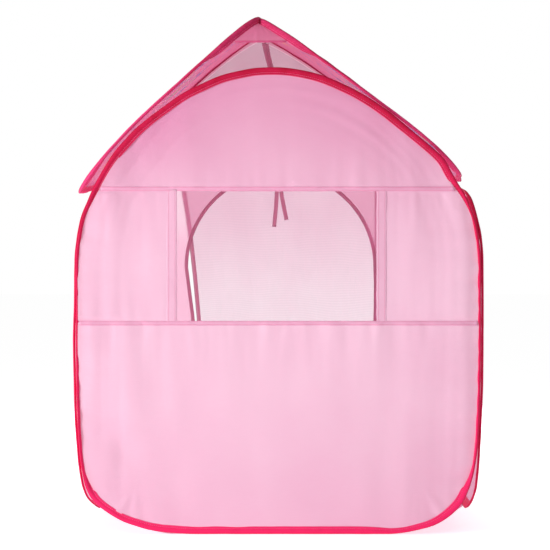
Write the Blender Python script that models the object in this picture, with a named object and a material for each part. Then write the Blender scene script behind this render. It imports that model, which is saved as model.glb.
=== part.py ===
"""Pop-up play house tent: six spring-wire hoops in folded-tape sleeves carry taffeta walls and roof.

Frame: metres, +Z up, origin on the floor under the middle of the tent. The back wall with its
window faces -Y, the doorway with its net curtain faces +Y. Every hoop is built the same way:
an outline, a swept tape sleeve with a bore, a wire in the bore and a crimped ferrule where the
wire's ends meet.
"""

import math

import bmesh
import bpy
from mathutils import Vector

# Overall sizes
tent_depth = 0.80
wall_half_width = 0.4107
arch_height = 0.948
left_wall_top = 0.698
right_wall_top = 0.714
side_wall_bottom = 0.036
ridge_x = -0.0396
ridge_z = 1.0400

# Gaps and overruns shared by all pieces
seam_gap = 0.0003
ridge_gap = 0.0006
cutter_overrun = 0.01

# Tape sleeve, spring wire and ferrule, the same on all six hoops
sleeve_width = 0.016
sleeve_thickness = 0.007
sleeve_edge_share = 0.06
sleeve_tail_share = 0.38
wire_inset = 0.0055
wire_radius = 0.0011
bore_half = 0.0023
ferrule_radius = 0.0020
ferrule_length = 0.036
wire_clearance = 0.0003
join_gap = 0.0006
hoop_sides = 6
arch_join_x = 0.013

# Cloth and net
fabric_thickness = 0.0012
net_thickness = 0.0010
binding_thickness = 0.0022

# Outline of the back and front hoops: half-width share and height share, bottom to top
arch_outline_shares = (
    (0.280, 0.000),
    (0.560, 0.000),
    (0.710, 0.014),
    (0.800, 0.031),
    (0.885, 0.058),
    (0.930, 0.082),
    (0.962, 0.118),
    (0.982, 0.168),
    (0.994, 0.250),
    (1.000, 0.370),
    (1.000, 0.500),
    (1.000, 0.590),
    (0.990, 0.631),
    (0.972, 0.674),
    (0.937, 0.717),
    (0.892, 0.759),
    (0.845, 0.803),
    (0.755, 0.845),
    (0.640, 0.888),
    (0.489, 0.9325),
    (0.378, 0.959),
    (0.241, 0.984),
    (0.107, 0.997),
)
arch_lean_start = 0.74
arch_lean_run = 0.10
back_arch_lean = 0.011
front_arch_lean = 0.014

# Side hoops lean in at their top and bottom edges
side_corner_radius = 0.12
side_upper_start = 0.56
side_upper_lean = 0.025
side_lower_start = 0.20
side_lower_lean = 0.036
side_edge_steps = 3

# Roof hoops
roof_corner_radius = 0.11
roof_bow = 0.0205
roof_bow_power = 3
roof_edge_steps = 5
corner_steps = 5
left_eave_inset = 0.0132
right_eave_inset = 0.0247

# Back wall panels and window
upper_seam_z = 0.6995
lower_seam_z = 0.4330
window_left = -0.204
window_right = 0.198
window_hem_width = 0.021

# Doorway in the front wall
door_centre_x = 0.008
door_half_width = 0.210
door_sill_half_width = 0.185
door_sill_z = 0.045
door_spring_z = 0.525
door_side_steps = 3
door_arc_steps = 14
door_binding_width = 0.008

# Net curtain outside the doorway
curtain_top_z = 0.765
curtain_bottom_z = 0.030
curtain_left_top = -0.213
curtain_left_bottom = -0.158
curtain_right_top = 0.223
curtain_right_bottom = 0.216
curtain_fold_depth = 0.0090
curtain_folds = 5
curtain_columns = 30
curtain_rows = 8
curtain_binding_width = 0.009
header_height = 0.014

# Front gable net, back apex gusset and floor sheet
gable_net_left = -0.236
gable_net_right = 0.240
gable_net_tuck = 0.006
gusset_seat = 0.008
gusset_start_angle = math.radians(33)
gusset_steps = 4
floor_thickness = 0.0010

# Half of the groundsheet's section: across share, rise share, share of the side hoops' corner cut
floor_section_shares = (
    (0.30, 0.00, 0.00),
    (0.61, 0.00, 0.00),
    (0.78, 0.40, 0.05),
    (0.88, 0.74, 0.25),
    (0.95, 0.95, 0.55),
    (1.00, 1.10, 1.00),
)

# Tie ribbons: routes as (x, z) points hung inside the front gable
ribbon_width = 0.009
ribbon_thickness = 0.0008
left_ribbon_route = (
    (-0.0300, 1.0250),
    (-0.0250, 1.0000),
    (-0.0190, 0.9740),
    (-0.0140, 0.9400),
    (-0.0110, 0.9000),
    (-0.0090, 0.8500),
    (-0.0080, 0.8000),
    (-0.0075, 0.7500),
    (-0.0075, 0.7000),
    (-0.0090, 0.6600),
    (-0.0130, 0.6150),
)
right_ribbon_route = (
    (-0.0190, 1.0210),
    (-0.0140, 0.9980),
    (-0.0080, 0.9740),
    (-0.0030, 0.9400),
    (0.0000, 0.9000),
    (0.0020, 0.8500),
    (0.0030, 0.8000),
    (0.0050, 0.7500),
    (0.0085, 0.7000),
    (0.0140, 0.6650),
    (0.0210, 0.6310),
)

# Heights through the tent, worked out from its depth
back_outer_y = -tent_depth / 2
back_inner_y = back_outer_y + sleeve_thickness
curtain_depth = seam_gap + binding_thickness + curtain_fold_depth
front_outer_y = tent_depth / 2 - curtain_depth
curtain_hinge_y = front_outer_y + seam_gap + binding_thickness
front_inner_y = front_outer_y - sleeve_thickness
side_near_y = back_inner_y + seam_gap
side_far_y = front_inner_y - seam_gap

# Hinge lines: eaves, and wall corners that turn inside the tape (acute) or beside it (obtuse)
left_eave_x = left_eave_inset - wall_half_width
right_eave_x = wall_half_width - right_eave_inset
acute_hinge_x = wall_half_width - sleeve_width + seam_gap
obtuse_hinge_x = wall_half_width + seam_gap

# Colours and finishes
tape_pink = (0.69, 0.012, 0.058, 1.0)
cloth_pink = (0.90, 0.53, 0.70, 1.0)
roof_pink = (0.80, 0.15, 0.30, 1.0)
net_pink = (0.88, 0.66, 0.76, 1.0)
ribbon_pink = (0.50, 0.08, 0.17, 1.0)
steel_grey = (0.45, 0.45, 0.47, 1.0)
brass = (0.72, 0.60, 0.36, 1.0)
sleeve_roughness = 0.6
cloth_roughness = 0.8
steel_roughness = 0.35
steel_metallic = 0.9
brass_roughness = 0.4
brass_metallic = 0.8


def clear_objects():
    for old in list(bpy.data.objects):
        bpy.data.objects.remove(old, do_unlink=True)


def material(name, colour, roughness, metallic=0.0):
    made = bpy.data.materials.new(name)
    made.use_nodes = True
    shader = made.node_tree.nodes["Principled BSDF"]
    shader.inputs["Base Color"].default_value = colour
    shader.inputs["Roughness"].default_value = roughness
    shader.inputs["Metallic"].default_value = metallic
    return made


def hinge_empty(name, place):
    """An empty on a joint's axis, which the pieces of one moving body hang from."""
    empty = bpy.data.objects.new(name, None)
    bpy.context.scene.collection.objects.link(empty)
    empty.location = place
    return empty


def add_mesh(name, points, faces, colour, roughness, body, metallic=0.0):
    """One closed mesh object with outward faces, its own material and its body's empty as parent."""
    mesh = bpy.data.meshes.new(name)
    mesh.from_pydata([tuple(point) for point in points], [], faces)
    shape = bmesh.new()
    shape.from_mesh(mesh)
    bmesh.ops.recalc_face_normals(shape, faces=shape.faces)
    shape.to_mesh(mesh)
    shape.free()
    piece = bpy.data.objects.new(name, mesh)
    bpy.context.scene.collection.objects.link(piece)
    mesh.materials.append(material(name, colour, roughness, metallic))
    mesh.transform(body.matrix_world.inverted())
    piece.parent = body
    return piece


def smooth_step(share):
    share = min(max(share, 0.0), 1.0)
    return share * share * (3 - 2 * share)


# Outlines: lists of (across, up) points, counter-clockwise, open at the join in the lower edge


def arch_outline():
    right = [(w * wall_half_width, h * arch_height) for w, h in arch_outline_shares]
    left = [(-across, up) for across, up in reversed(right)]
    start = [(arch_join_x + join_gap / 2, 0)]
    end = [(arch_join_x - join_gap / 2, 0)]
    return start + right + [(0, arch_height)] + left + end


def rounded_outline(half_across, low, high, radius, edge_steps):
    """A rounded rectangle whose two upright edges carry extra points."""
    right = []
    centre = half_across - radius
    for step in range(corner_steps + 1):
        turn = math.pi / 2 * step / corner_steps
        right.append((centre + radius * math.sin(turn), low + radius - radius * math.cos(turn)))
    for step in range(1, edge_steps + 1):
        share = step / (edge_steps + 1)
        right.append((half_across, low + radius + share * (high - low - 2 * radius)))
    for step in range(corner_steps + 1):
        turn = math.pi / 2 * step / corner_steps
        right.append((centre + radius * math.cos(turn), high - radius + radius * math.sin(turn)))
    left = [(-across, up) for across, up in reversed(right)]
    return [(join_gap / 2, low)] + right + left + [(-join_gap / 2, low)]


def inset(outline, distance):
    """The outline moved inwards in its own plane, corner by corner."""
    moved = []
    count = len(outline)
    for i, point in enumerate(outline):
        before = Vector(outline[i - 1]) if i else Vector(outline[-1])
        after = Vector(outline[(i + 1) % count])
        here = Vector(point)
        first = (here - before).normalized()
        second = (after - here).normalized()
        if i == 0:
            first = second
        if i == count - 1:
            second = first
        normal_a = Vector((-first.y, first.x))
        normal_b = Vector((-second.y, second.x))
        middle = (normal_a + normal_b).normalized()
        moved.append(here + middle * (distance / middle.dot(normal_a)))
    return moved


# Maps from an outline's plane to the tent: across, up and out through the hoop's thickness


def arch_lean(up, lean):
    return -lean * smooth_step((up - arch_lean_start) / arch_lean_run)


def back_map(across, up, out):
    return Vector((across + arch_lean(up, back_arch_lean), back_inner_y - out, up))


def front_map(across, up, out):
    return Vector((across + arch_lean(up, front_arch_lean), front_inner_y + out, up))


def side_inner_x(up):
    upper = max(0.0, (up - side_upper_start) / (right_wall_top - side_upper_start))
    lower = max(0.0, (side_lower_start - up) / (side_lower_start - side_wall_bottom))
    return obtuse_hinge_x - side_upper_lean * upper**2 - side_lower_lean * lower**2


def side_map(side):
    middle_y = (side_near_y + side_far_y) / 2

    def place(across, up, out):
        return Vector((side * (side_inner_x(up) + out), middle_y + across, up))

    return place


def roof_frame(side):
    """Eave point, slope direction, outward normal and length of one roof panel."""
    eave_x, top = (left_eave_x, left_wall_top) if side < 0 else (right_eave_x, right_wall_top)
    eave = Vector((eave_x, 0, top + seam_gap))
    ridge = Vector((ridge_x + side * ridge_gap / 2, 0, ridge_z))
    along = ridge - eave
    length = along.length
    along.normalize()
    return eave, along, Vector((side * along.z, 0, abs(along.x))), length


def roof_map(side):
    eave, along, outward, length = roof_frame(side)
    middle_y = (side_near_y + side_far_y) / 2

    def place(across, up, out):
        bow = roof_bow * (1 - abs(2 * up / length - 1) ** roof_bow_power)
        point = eave + along * up + outward * (bow + out)
        return Vector((point.x, middle_y + across, point.z))

    return place


# Swept pieces of a hoop


def ring_faces(rings, sides, first=0):
    """Side faces between neighbouring rings of a swept section."""
    faces = []
    for ring in range(rings - 1):
        for side in range(sides):
            a = first + ring * sides + side
            b = first + ring * sides + (side + 1) % sides
            faces.append((a, b, b + sides, a + sides))
    return faces


# Faces that close an open end of a sleeve: its section's corners, then its bore's
sleeve_end_faces = (
    ((0, 1), (1, 0)),
    ((1, 2), (1,)),
    ((2,), (2, 1)),
    ((2, 3), (3, 2)),
    ((3, 4), (3,)),
    ((4, 5), (3,)),
    ((5, 0), (0, 3)),
)


def sleeve(name, outline, place, colour, body):
    """A folded tape sleeve: a six-sided section with a square bore, open where its ends meet."""
    thick = sleeve_thickness
    section = (
        (0, sleeve_edge_share * thick),
        (0, (1 - sleeve_edge_share) * thick),
        (wire_inset, thick),
        (sleeve_width, (1 - sleeve_tail_share) * thick),
        (sleeve_width, sleeve_tail_share * thick),
        (wire_inset, 0),
    )
    bore = (
        (wire_inset - bore_half, thick / 2 - bore_half),
        (wire_inset - bore_half, thick / 2 + bore_half),
        (wire_inset + bore_half, thick / 2 + bore_half),
        (wire_inset + bore_half, thick / 2 - bore_half),
    )
    paths = {depth: inset(outline, depth) for depth, _ in section + bore}
    rings = len(outline)
    points = []
    for corners in (section, bore):
        for ring in range(rings):
            for depth, out in corners:
                points.append(place(*paths[depth][ring], out))
    outer_count = rings * len(section)
    faces = ring_faces(rings, len(section)) + ring_faces(rings, len(bore), outer_count)
    for ring in (0, rings - 1):
        outer = ring * len(section)
        inner = outer_count + ring * len(bore)
        for section_corners, bore_corners in sleeve_end_faces:
            face = [outer + corner for corner in section_corners]
            face += [inner + corner for corner in bore_corners]
            faces.append(tuple(face))
    return add_mesh(name, points, faces, colour, sleeve_roughness, body)


def round_section(radius):
    turns = [2 * math.pi * side / hoop_sides for side in range(hoop_sides)]
    return [
        (wire_inset + radius * math.cos(turn), sleeve_thickness / 2 + radius * math.sin(turn))
        for turn in turns
    ]


def wire(name, outline, place, body):
    """The spring wire: one open rod whose two ends meet inside the ferrule."""
    section = round_section(wire_radius)
    paths = {depth: inset(outline, depth) for depth, _ in section}
    rings = len(outline)
    points = [
        place(*paths[depth][ring], out) for ring in range(rings) for depth, out in section
    ]
    faces = ring_faces(rings, hoop_sides)
    faces.append(tuple(range(hoop_sides)))
    faces.append(tuple(range((rings - 1) * hoop_sides, rings * hoop_sides)))
    return add_mesh(name, points, faces, steel_grey, steel_roughness, body, steel_metallic)


def ferrule(name, outline, place, body):
    """A crimped tube over the wire's joint, in the straight lower edge of the hoop."""
    join_across = (outline[0][0] + outline[-1][0]) / 2
    low = outline[0][1]
    bore_radius = (wire_radius + wire_clearance) / math.cos(math.pi / hoop_sides)
    points = []
    for radius in (ferrule_radius, bore_radius):
        for end in (-1, 1):
            for depth, out in round_section(radius):
                points.append(place(join_across + end * ferrule_length / 2, low + depth, out))
    outer = ring_faces(2, hoop_sides)
    inner = ring_faces(2, hoop_sides, 2 * hoop_sides)
    ends = []
    for end in (0, 1):
        for side in range(hoop_sides):
            a = end * hoop_sides + side
            b = end * hoop_sides + (side + 1) % hoop_sides
            ends.append((a, b, b + 2 * hoop_sides, a + 2 * hoop_sides))
    faces = outer + inner + ends
    return add_mesh(name, points, faces, brass, brass_roughness, body, brass_metallic)


def hoop(prefix, outline, place, body):
    sleeve(prefix + "_sleeve", outline, place, tape_pink, body)
    wire(prefix + "_wire", outline, place, body)
    ferrule(prefix + "_ferrule", outline, place, body)


# Flat and curved cloth


def cloth_layers(thickness):
    middle = sleeve_thickness / 2
    return middle - thickness / 2, middle + thickness / 2


def plate(name, corners, place, colour, body, thickness=fabric_thickness, layers=None):
    """A cloth panel cut to a polygon in a hoop's plane."""
    low, high = layers or cloth_layers(thickness)
    count = len(corners)
    points = [place(*corner, low) for corner in corners]
    points += [place(*corner, high) for corner in corners]
    faces = [tuple(range(count)), tuple(range(count, 2 * count))]
    for i in range(count):
        j = (i + 1) % count
        faces.append((i, j, j + count, i + count))
    return add_mesh(name, points, faces, colour, cloth_roughness, body)


def strip(name, rows, colour, body):
    """A sheet from rows of (lower layer, upper layer) point lists, closed round its edge."""
    columns = len(rows[0][0])
    count = len(rows) * columns
    points = [point for lower, _ in rows for point in lower]
    points += [point for _, upper in rows for point in upper]
    faces = []
    for row in range(len(rows) - 1):
        for column in range(columns - 1):
            a = row * columns + column
            b = a + 1
            faces.append((a, b, b + columns, a + columns))
            faces.append((a + count, b + count, b + columns + count, a + columns + count))
    edge = list(range(columns))
    edge += [row * columns + columns - 1 for row in range(1, len(rows))]
    edge += [(len(rows) - 1) * columns + column for column in reversed(range(columns - 1))]
    edge += [row * columns for row in reversed(range(1, len(rows) - 1))]
    for i, a in enumerate(edge):
        b = edge[(i + 1) % len(edge)]
        faces.append((a, b, b + count, a + count))
    return add_mesh(name, points, faces, colour, cloth_roughness, body)


def upper_half(boundary):
    """The boundary's right-hand points from the lower edge to the top, without the join's."""
    top = max(range(len(boundary)), key=lambda i: boundary[i][1])
    return boundary[1 : top + 1]


def run_between(boundary, low, high, side):
    """Points of one side of an arch's inner boundary between two heights, going up."""
    right = upper_half(boundary)
    found = []
    for first, second in zip(right, right[1:]):
        for level in (low, high):
            if first[1] < level < second[1]:
                share = (level - first[1]) / (second[1] - first[1])
                found.append((first[0] + share * (second[0] - first[0]), level))
    found += [(point[0], point[1]) for point in right if low < point[1] < high]
    found.sort(key=lambda point: (point[1], -point[0]))
    return [(side * across, up) for across, up in found]


def back_panels(body):
    """The arched top, the two pieces beside the window, its two hems and the wide lower piece."""
    boundary = inset(arch_outline(), sleeve_width + seam_gap)
    top = arch_height
    right = run_between(boundary, upper_seam_z + seam_gap / 2, top, 1)
    left = run_between(boundary, upper_seam_z + seam_gap / 2, top, -1)
    peak = [tuple(point) for point in boundary if abs(point[0]) < seam_gap and point[1] > top / 2]
    middle = peak if right[-1][0] > seam_gap else []
    plate("back_top_panel", right + middle + left[::-1], back_map, cloth_pink, body)

    low = lower_seam_z + seam_gap / 2
    high = upper_seam_z - seam_gap / 2
    for name, side, hem_side in (("left", -1, window_left), ("right", 1, window_right)):
        edge = run_between(boundary, low, high, side)
        cut = hem_side + side * (window_hem_width + seam_gap)
        corners = edge + [(cut, high), (cut, low)]
        plate("back_" + name + "_panel", corners, back_map, cloth_pink, body)
        hem = hem_side + side * window_hem_width
        corners = [(hem_side, low), (hem, low), (hem, high), (hem_side, high)]
        plate("window_" + name + "_hem", corners, back_map, cloth_pink, body, binding_thickness)

    floor_level = sleeve_width + seam_gap
    high = lower_seam_z - seam_gap / 2
    corners = run_between(boundary, floor_level, high, 1)
    corners += run_between(boundary, floor_level, high, -1)[::-1]
    plate("back_bottom_panel", corners, back_map, cloth_pink, body)


def door_outline(grow):
    """Right foot, arch and left foot of the doorway, moved outwards by grow."""
    right = []
    for step in range(door_side_steps):
        share = step / door_side_steps
        half = door_sill_half_width + (door_half_width - door_sill_half_width) * share
        right.append((half + grow, door_sill_z + (door_spring_z - door_sill_z) * share))
    arc = []
    radius = door_half_width + grow
    for step in range(door_arc_steps + 1):
        turn = math.pi * step / door_arc_steps
        arc.append((radius * math.cos(turn), door_spring_z + radius * math.sin(turn)))
    left = [(-across, up) for across, up in reversed(right)]
    return [(door_centre_x + across, up) for across, up in right + arc + left]


def front_panel(body):
    """The front wall's cloth with the doorway cut out of it, and the doorway's binding."""
    boundary = inset(arch_outline(), sleeve_width + seam_gap)
    corners = [tuple(point) for point in boundary[1:-1]]
    panel = plate("front_panel", corners, front_map, cloth_pink, body)

    cut = door_outline(seam_gap)
    cutter_layers = (-cutter_overrun, sleeve_thickness + cutter_overrun)
    cutter = plate("doorway_cutter", cut, front_flat_map, cloth_pink, body, layers=cutter_layers)
    cutter.hide_render = True
    cutter.display_type = "WIRE"
    doorway = panel.modifiers.new("doorway", "BOOLEAN")
    doorway.operation = "DIFFERENCE"
    doorway.solver = "EXACT"
    doorway.object = cutter

    low, high = cloth_layers(binding_thickness)
    outer = door_outline(0)
    inner = door_outline(-door_binding_width)
    rows = []
    for outside, inside in zip(outer, inner):
        rows.append(
            (
                [front_flat_map(*outside, low), front_flat_map(*inside, low)],
                [front_flat_map(*outside, high), front_flat_map(*inside, high)],
            )
        )
    strip("door_arch_binding", rows, tape_pink, body)


def front_flat_map(across, up, out):
    """The front wall's plane without the arch's lean, for the doorway below it."""
    return Vector((across, front_inner_y + out, up))


def side_panel(name, low, high, place, colour, half_across, radius, edge_steps, body):
    """The cloth inside a side or roof hoop, in rows that follow the hoop's curve."""
    outline = rounded_outline(half_across, low, high, radius, edge_steps)
    boundary = inset(outline, sleeve_width + seam_gap)
    half = len(boundary) // 2
    under, over = cloth_layers(fabric_thickness)
    rows = []
    for across, up in boundary[1:half]:
        rows.append(
            (
                [place(-across, up, under), place(across, up, under)],
                [place(-across, up, over), place(across, up, over)],
            )
        )
    return strip(name, rows, colour, body)


def side_wall(name, side, top, body):
    half_across = (side_far_y - side_near_y) / 2
    outline = rounded_outline(
        half_across, side_wall_bottom, top, side_corner_radius, side_edge_steps
    )
    hoop(name, outline, side_map(side), body)
    side_panel(
        name + "_panel",
        side_wall_bottom,
        top,
        side_map(side),
        cloth_pink,
        half_across,
        side_corner_radius,
        side_edge_steps,
        body,
    )


def roof_side(name, side, body):
    half_across = (side_far_y - side_near_y) / 2
    length = roof_frame(side)[3]
    outline = rounded_outline(half_across, 0, length, roof_corner_radius, roof_edge_steps)
    hoop(name, outline, roof_map(side), body)
    side_panel(
        name + "_panel",
        0,
        length,
        roof_map(side),
        roof_pink,
        half_across,
        roof_corner_radius,
        roof_edge_steps,
        body,
    )


def back_gusset(body):
    """The small gusset that closes the rounded corners of the roof hoops over the back gable."""
    half_across = (side_far_y - side_near_y) / 2
    radius = roof_corner_radius - gusset_seat
    rows = []
    for step in range(gusset_steps + 1):
        turn = gusset_start_angle + (math.pi / 2 - gusset_start_angle) * step / gusset_steps
        layers = ([], [])
        for side in (-1, 1):
            length = roof_frame(side)[3]
            up = length - roof_corner_radius + radius * math.sin(turn)
            across = -half_across + roof_corner_radius - radius * math.cos(turn)
            for layer, out in zip(layers, (-seam_gap - fabric_thickness, -seam_gap)):
                layer.append(roof_map(side)(across, up, out))
        rows.append(layers)
    strip("back_gusset", rows, roof_pink, body)


def polyline_height(line, across):
    """Height of a polyline of (x, z) points, ordered by x, at one place."""
    for (first_x, first_z), (second_x, second_z) in zip(line, line[1:]):
        if first_x <= across <= second_x:
            share = (across - first_x) / (second_x - first_x)
            return first_z + share * (second_z - first_z)
    return line[0][1] if across < line[0][0] else line[-1][1]


def roof_underside():
    """The roof's inner surface across the tent, as (x, z) points from left to right."""
    line = []
    half_across = (side_far_y - side_near_y) / 2
    for side in (-1, 1):
        length = roof_frame(side)[3]
        outline = rounded_outline(half_across, 0, length, roof_corner_radius, roof_edge_steps)
        ups = sorted({point[1] for point in outline})
        found = [roof_map(side)(0, up, 0) for up in ups]
        line += [(point.x, point.z) for point in found]
    return sorted(line)


def front_gable_net(body):
    """The net that closes the front gable between the arch and the roof."""
    roof = roof_underside()
    tucked = inset(arch_outline(), gable_net_tuck)
    arch = sorted(
        (point.x, point.z)
        for point in (front_map(*place, 0) for place in tucked)
        if point.z > door_spring_z and point.z > side_upper_start
    )
    stations = [x for x, _ in arch if gable_net_left < x < gable_net_right]
    stations += [gable_net_left, ridge_x, gable_net_right]
    rows = []
    near = front_inner_y - seam_gap - net_thickness
    far = front_inner_y - seam_gap
    for x in sorted(stations):
        low = polyline_height(arch, x)
        high = polyline_height(roof, x) - 2 * seam_gap
        rows.append(
            (
                [Vector((x, near, low)), Vector((x, near, high))],
                [Vector((x, far, low)), Vector((x, far, high))],
            )
        )
    strip("front_gable_net", rows, net_pink, body)


def curtain_point(across_share, up_share, out):
    """A point of the hanging net: its folds deepen from the header down to the hem."""
    left = curtain_left_bottom + (curtain_left_top - curtain_left_bottom) * up_share
    right = curtain_right_bottom + (curtain_right_top - curtain_right_bottom) * up_share
    low = curtain_bottom_z + curtain_binding_width
    height = low + (curtain_top_z - low) * up_share
    deepening = 1 - up_share**2
    wave = (1 - math.cos(2 * math.pi * curtain_folds * across_share)) / 2
    forward = curtain_hinge_y - net_thickness + curtain_fold_depth * deepening * wave
    return Vector((left + (right - left) * across_share, forward + out, height))


def curtain_sheet(name, columns, rows, across_range, up_range, thickness, colour, body):
    sheet = []
    for row in range(rows + 1):
        up = up_range[0] + (up_range[1] - up_range[0]) * row / rows
        layers = ([], [])
        for column in range(columns + 1):
            share = across_range[0] + (across_range[1] - across_range[0]) * column / columns
            for layer, out in zip(layers, (0, thickness)):
                layer.append(curtain_point(share, up, out))
        sheet.append(layers)
    return strip(name, sheet, colour, body)


def door_curtain(front_body, curtain_body):
    """The net curtain with its bound edges, and the header that it hangs from."""
    width = curtain_right_bottom - curtain_left_bottom
    binding_share = curtain_binding_width / width
    gap_share = seam_gap / width
    height = curtain_top_z - curtain_bottom_z - curtain_binding_width
    rise_gap_share = seam_gap / height
    top = 1 - rise_gap_share
    curtain_sheet(
        "door_curtain",
        curtain_columns,
        curtain_rows,
        (0, 1),
        (0, top),
        net_thickness,
        net_pink,
        curtain_body,
    )
    for name, side_range in (
        ("left", (-gap_share - binding_share, -gap_share)),
        ("right", (1 + gap_share, 1 + gap_share + binding_share)),
    ):
        curtain_sheet(
            "curtain_" + name + "_binding",
            1,
            curtain_rows,
            side_range,
            (0, top),
            net_thickness,
            tape_pink,
            curtain_body,
        )
    hem_share = curtain_binding_width / height
    curtain_sheet(
        "curtain_hem_binding",
        curtain_columns,
        1,
        (-gap_share - binding_share, 1 + gap_share + binding_share),
        (-hem_share, -rise_gap_share),
        net_thickness,
        tape_pink,
        curtain_body,
    )

    near = front_inner_y + cloth_layers(fabric_thickness)[1] + seam_gap
    rows = []
    for up in (curtain_top_z, curtain_top_z + header_height):
        left = curtain_left_top - curtain_binding_width
        right = curtain_right_top + curtain_binding_width
        rows.append(
            (
                [Vector((left, near, up)), Vector((right, near, up))],
                [Vector((left, curtain_hinge_y, up)), Vector((right, curtain_hinge_y, up))],
            )
        )
    strip("curtain_header", rows, tape_pink, front_body)


def tie_ribbon(name, route, body):
    """A flat ribbon that hangs from the gable's peak along its route."""
    far = front_inner_y - 2 * seam_gap - net_thickness
    near = far - ribbon_thickness
    rows = []
    for i, (x, z) in enumerate(route):
        before = Vector(route[max(i - 1, 0)])
        after = Vector(route[min(i + 1, len(route) - 1)])
        along = (after - before).normalized()
        half = Vector((-along.y, along.x)) * ribbon_width / 2
        rows.append(
            (
                [Vector((x - half.x, near, z - half.y)), Vector((x + half.x, near, z + half.y))],
                [Vector((x - half.x, far, z - half.y)), Vector((x + half.x, far, z + half.y))],
            )
        )
    strip(name, rows, ribbon_pink, body)


def floor_sheet(body):
    """The groundsheet: flat in the middle, drawn up at both sides to the side hoops."""
    half_depth = (side_far_y - side_near_y) / 2
    middle_y = (side_far_y + side_near_y) / 2
    edge_x = side_inner_x(side_wall_bottom) - seam_gap
    half_section = [
        (share * edge_x, rise * side_wall_bottom, half_depth - tuck * side_corner_radius)
        for share, rise, tuck in floor_section_shares
    ]
    section = [(-x, z, half) for x, z, half in reversed(half_section)] + half_section
    rows = []
    for x, z, half in section:
        rows.append(
            (
                [Vector((x, middle_y - half, z)), Vector((x, middle_y + half, z))],
                [
                    Vector((x, middle_y - half, z + floor_thickness)),
                    Vector((x, middle_y + half, z + floor_thickness)),
                ],
            )
        )
    strip("floor_sheet", rows, cloth_pink, body)


clear_objects()
back = hinge_empty("back_wall_body", (0, 0, 0))
left = hinge_empty("left_wall_body", (-acute_hinge_x, back_inner_y, 0))
right = hinge_empty("right_wall_body", (obtuse_hinge_x, back_inner_y, 0))
front = hinge_empty("front_wall_body", (-obtuse_hinge_x, front_inner_y, 0))
left_roof = hinge_empty("left_roof_body", roof_frame(-1)[0])
right_roof = hinge_empty("right_roof_body", roof_frame(1)[0])
curtain = hinge_empty("door_curtain_body", (0, curtain_hinge_y, curtain_top_z))
bpy.context.view_layer.update()

hoop("back_hoop", arch_outline(), back_map, back)
back_panels(back)
floor_sheet(back)
hoop("front_hoop", arch_outline(), front_map, front)
front_panel(front)
front_gable_net(front)
door_curtain(front, curtain)
tie_ribbon("tie_ribbon_left", left_ribbon_route, front)
tie_ribbon("tie_ribbon_right", right_ribbon_route, front)
side_wall("left_wall", -1, left_wall_top, left)
side_wall("right_wall", 1, right_wall_top, right)
roof_side("left_roof", -1, left_roof)
roof_side("right_roof", 1, right_roof)
back_gusset(left_roof)
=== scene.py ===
import math

import bmesh
import bpy
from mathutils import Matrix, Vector, noise


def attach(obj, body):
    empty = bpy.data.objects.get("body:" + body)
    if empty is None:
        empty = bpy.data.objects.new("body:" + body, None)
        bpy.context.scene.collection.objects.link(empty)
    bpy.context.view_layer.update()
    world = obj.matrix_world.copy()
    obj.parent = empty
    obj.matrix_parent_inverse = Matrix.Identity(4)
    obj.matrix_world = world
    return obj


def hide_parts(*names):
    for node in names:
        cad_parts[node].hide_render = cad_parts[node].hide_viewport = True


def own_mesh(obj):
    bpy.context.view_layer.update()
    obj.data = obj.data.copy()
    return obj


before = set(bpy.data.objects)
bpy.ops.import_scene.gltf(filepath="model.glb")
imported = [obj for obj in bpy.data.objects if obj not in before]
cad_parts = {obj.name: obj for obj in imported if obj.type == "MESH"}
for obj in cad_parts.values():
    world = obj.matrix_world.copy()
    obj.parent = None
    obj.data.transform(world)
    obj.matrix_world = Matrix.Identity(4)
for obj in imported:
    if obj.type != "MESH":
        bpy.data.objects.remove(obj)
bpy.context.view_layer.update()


# Camera. The tent is looked at square on to its back wall from seven metres away, level with the
# eaves, so that the roof's underside just shows over the arch. The image is 550 x 550.

back_wall_y = -0.400
camera_distance = 7.0
camera_x = -0.005
camera_height = 0.710
aim_height = 0.5270
image_width_at_back_wall = 1.1156

camera_data = bpy.data.cameras.new("camera")
camera = bpy.data.objects.new("camera", camera_data)
bpy.context.scene.collection.objects.link(camera)
camera.location = (camera_x, back_wall_y - camera_distance, camera_height)
camera_aim = Vector((0, camera_distance, aim_height - camera_height))
camera.rotation_euler = camera_aim.to_track_quat("-Z", "Y").to_euler()
camera_data.sensor_width = 36
camera_data.lens = 36 * camera_aim.length / image_width_at_back_wall
bpy.context.scene.camera = camera


# Tie ribbons. Two narrow woven ribbons hang limp inside the front gable, from under the ridge to a
# little below the doorway's crown. They are sewn in under the roof, cut off square, and hang free.

ribbon_width = 0.009
ribbon_thickness = 0.0008
left_ribbon_y = 0.3750
right_ribbon_y = 0.3768
left_ribbon_route = (
    (-0.0300, 1.0290), (-0.0235, 1.0000), (-0.0168, 0.9740), (-0.0110, 0.9400),
    (-0.0070, 0.9000), (-0.0040, 0.8500), (-0.0025, 0.8000), (-0.0013, 0.7500),
    (-0.0008, 0.7000), (-0.0028, 0.6600), (-0.0068, 0.6150),
)
right_ribbon_route = (
    (-0.0238, 1.0270), (-0.0190, 0.9980), (-0.0130, 0.9740), (-0.0070, 0.9400),
    (-0.0020, 0.9000), (0.0015, 0.8500), (0.0035, 0.8000), (0.0053, 0.7500),
    (0.0083, 0.7000), (0.0140, 0.6650), (0.0210, 0.6310),
)


def dye(red, green, blue):
    """A colour given in bytes as it looks on a screen, as Blender's linear colour."""
    shares = [value / 255 for value in (red, green, blue)]
    linear = [s / 12.92 if s <= 0.04045 else ((s + 0.055) / 1.055) ** 2.4 for s in shares]
    return (*linear, 1.0)


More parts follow.
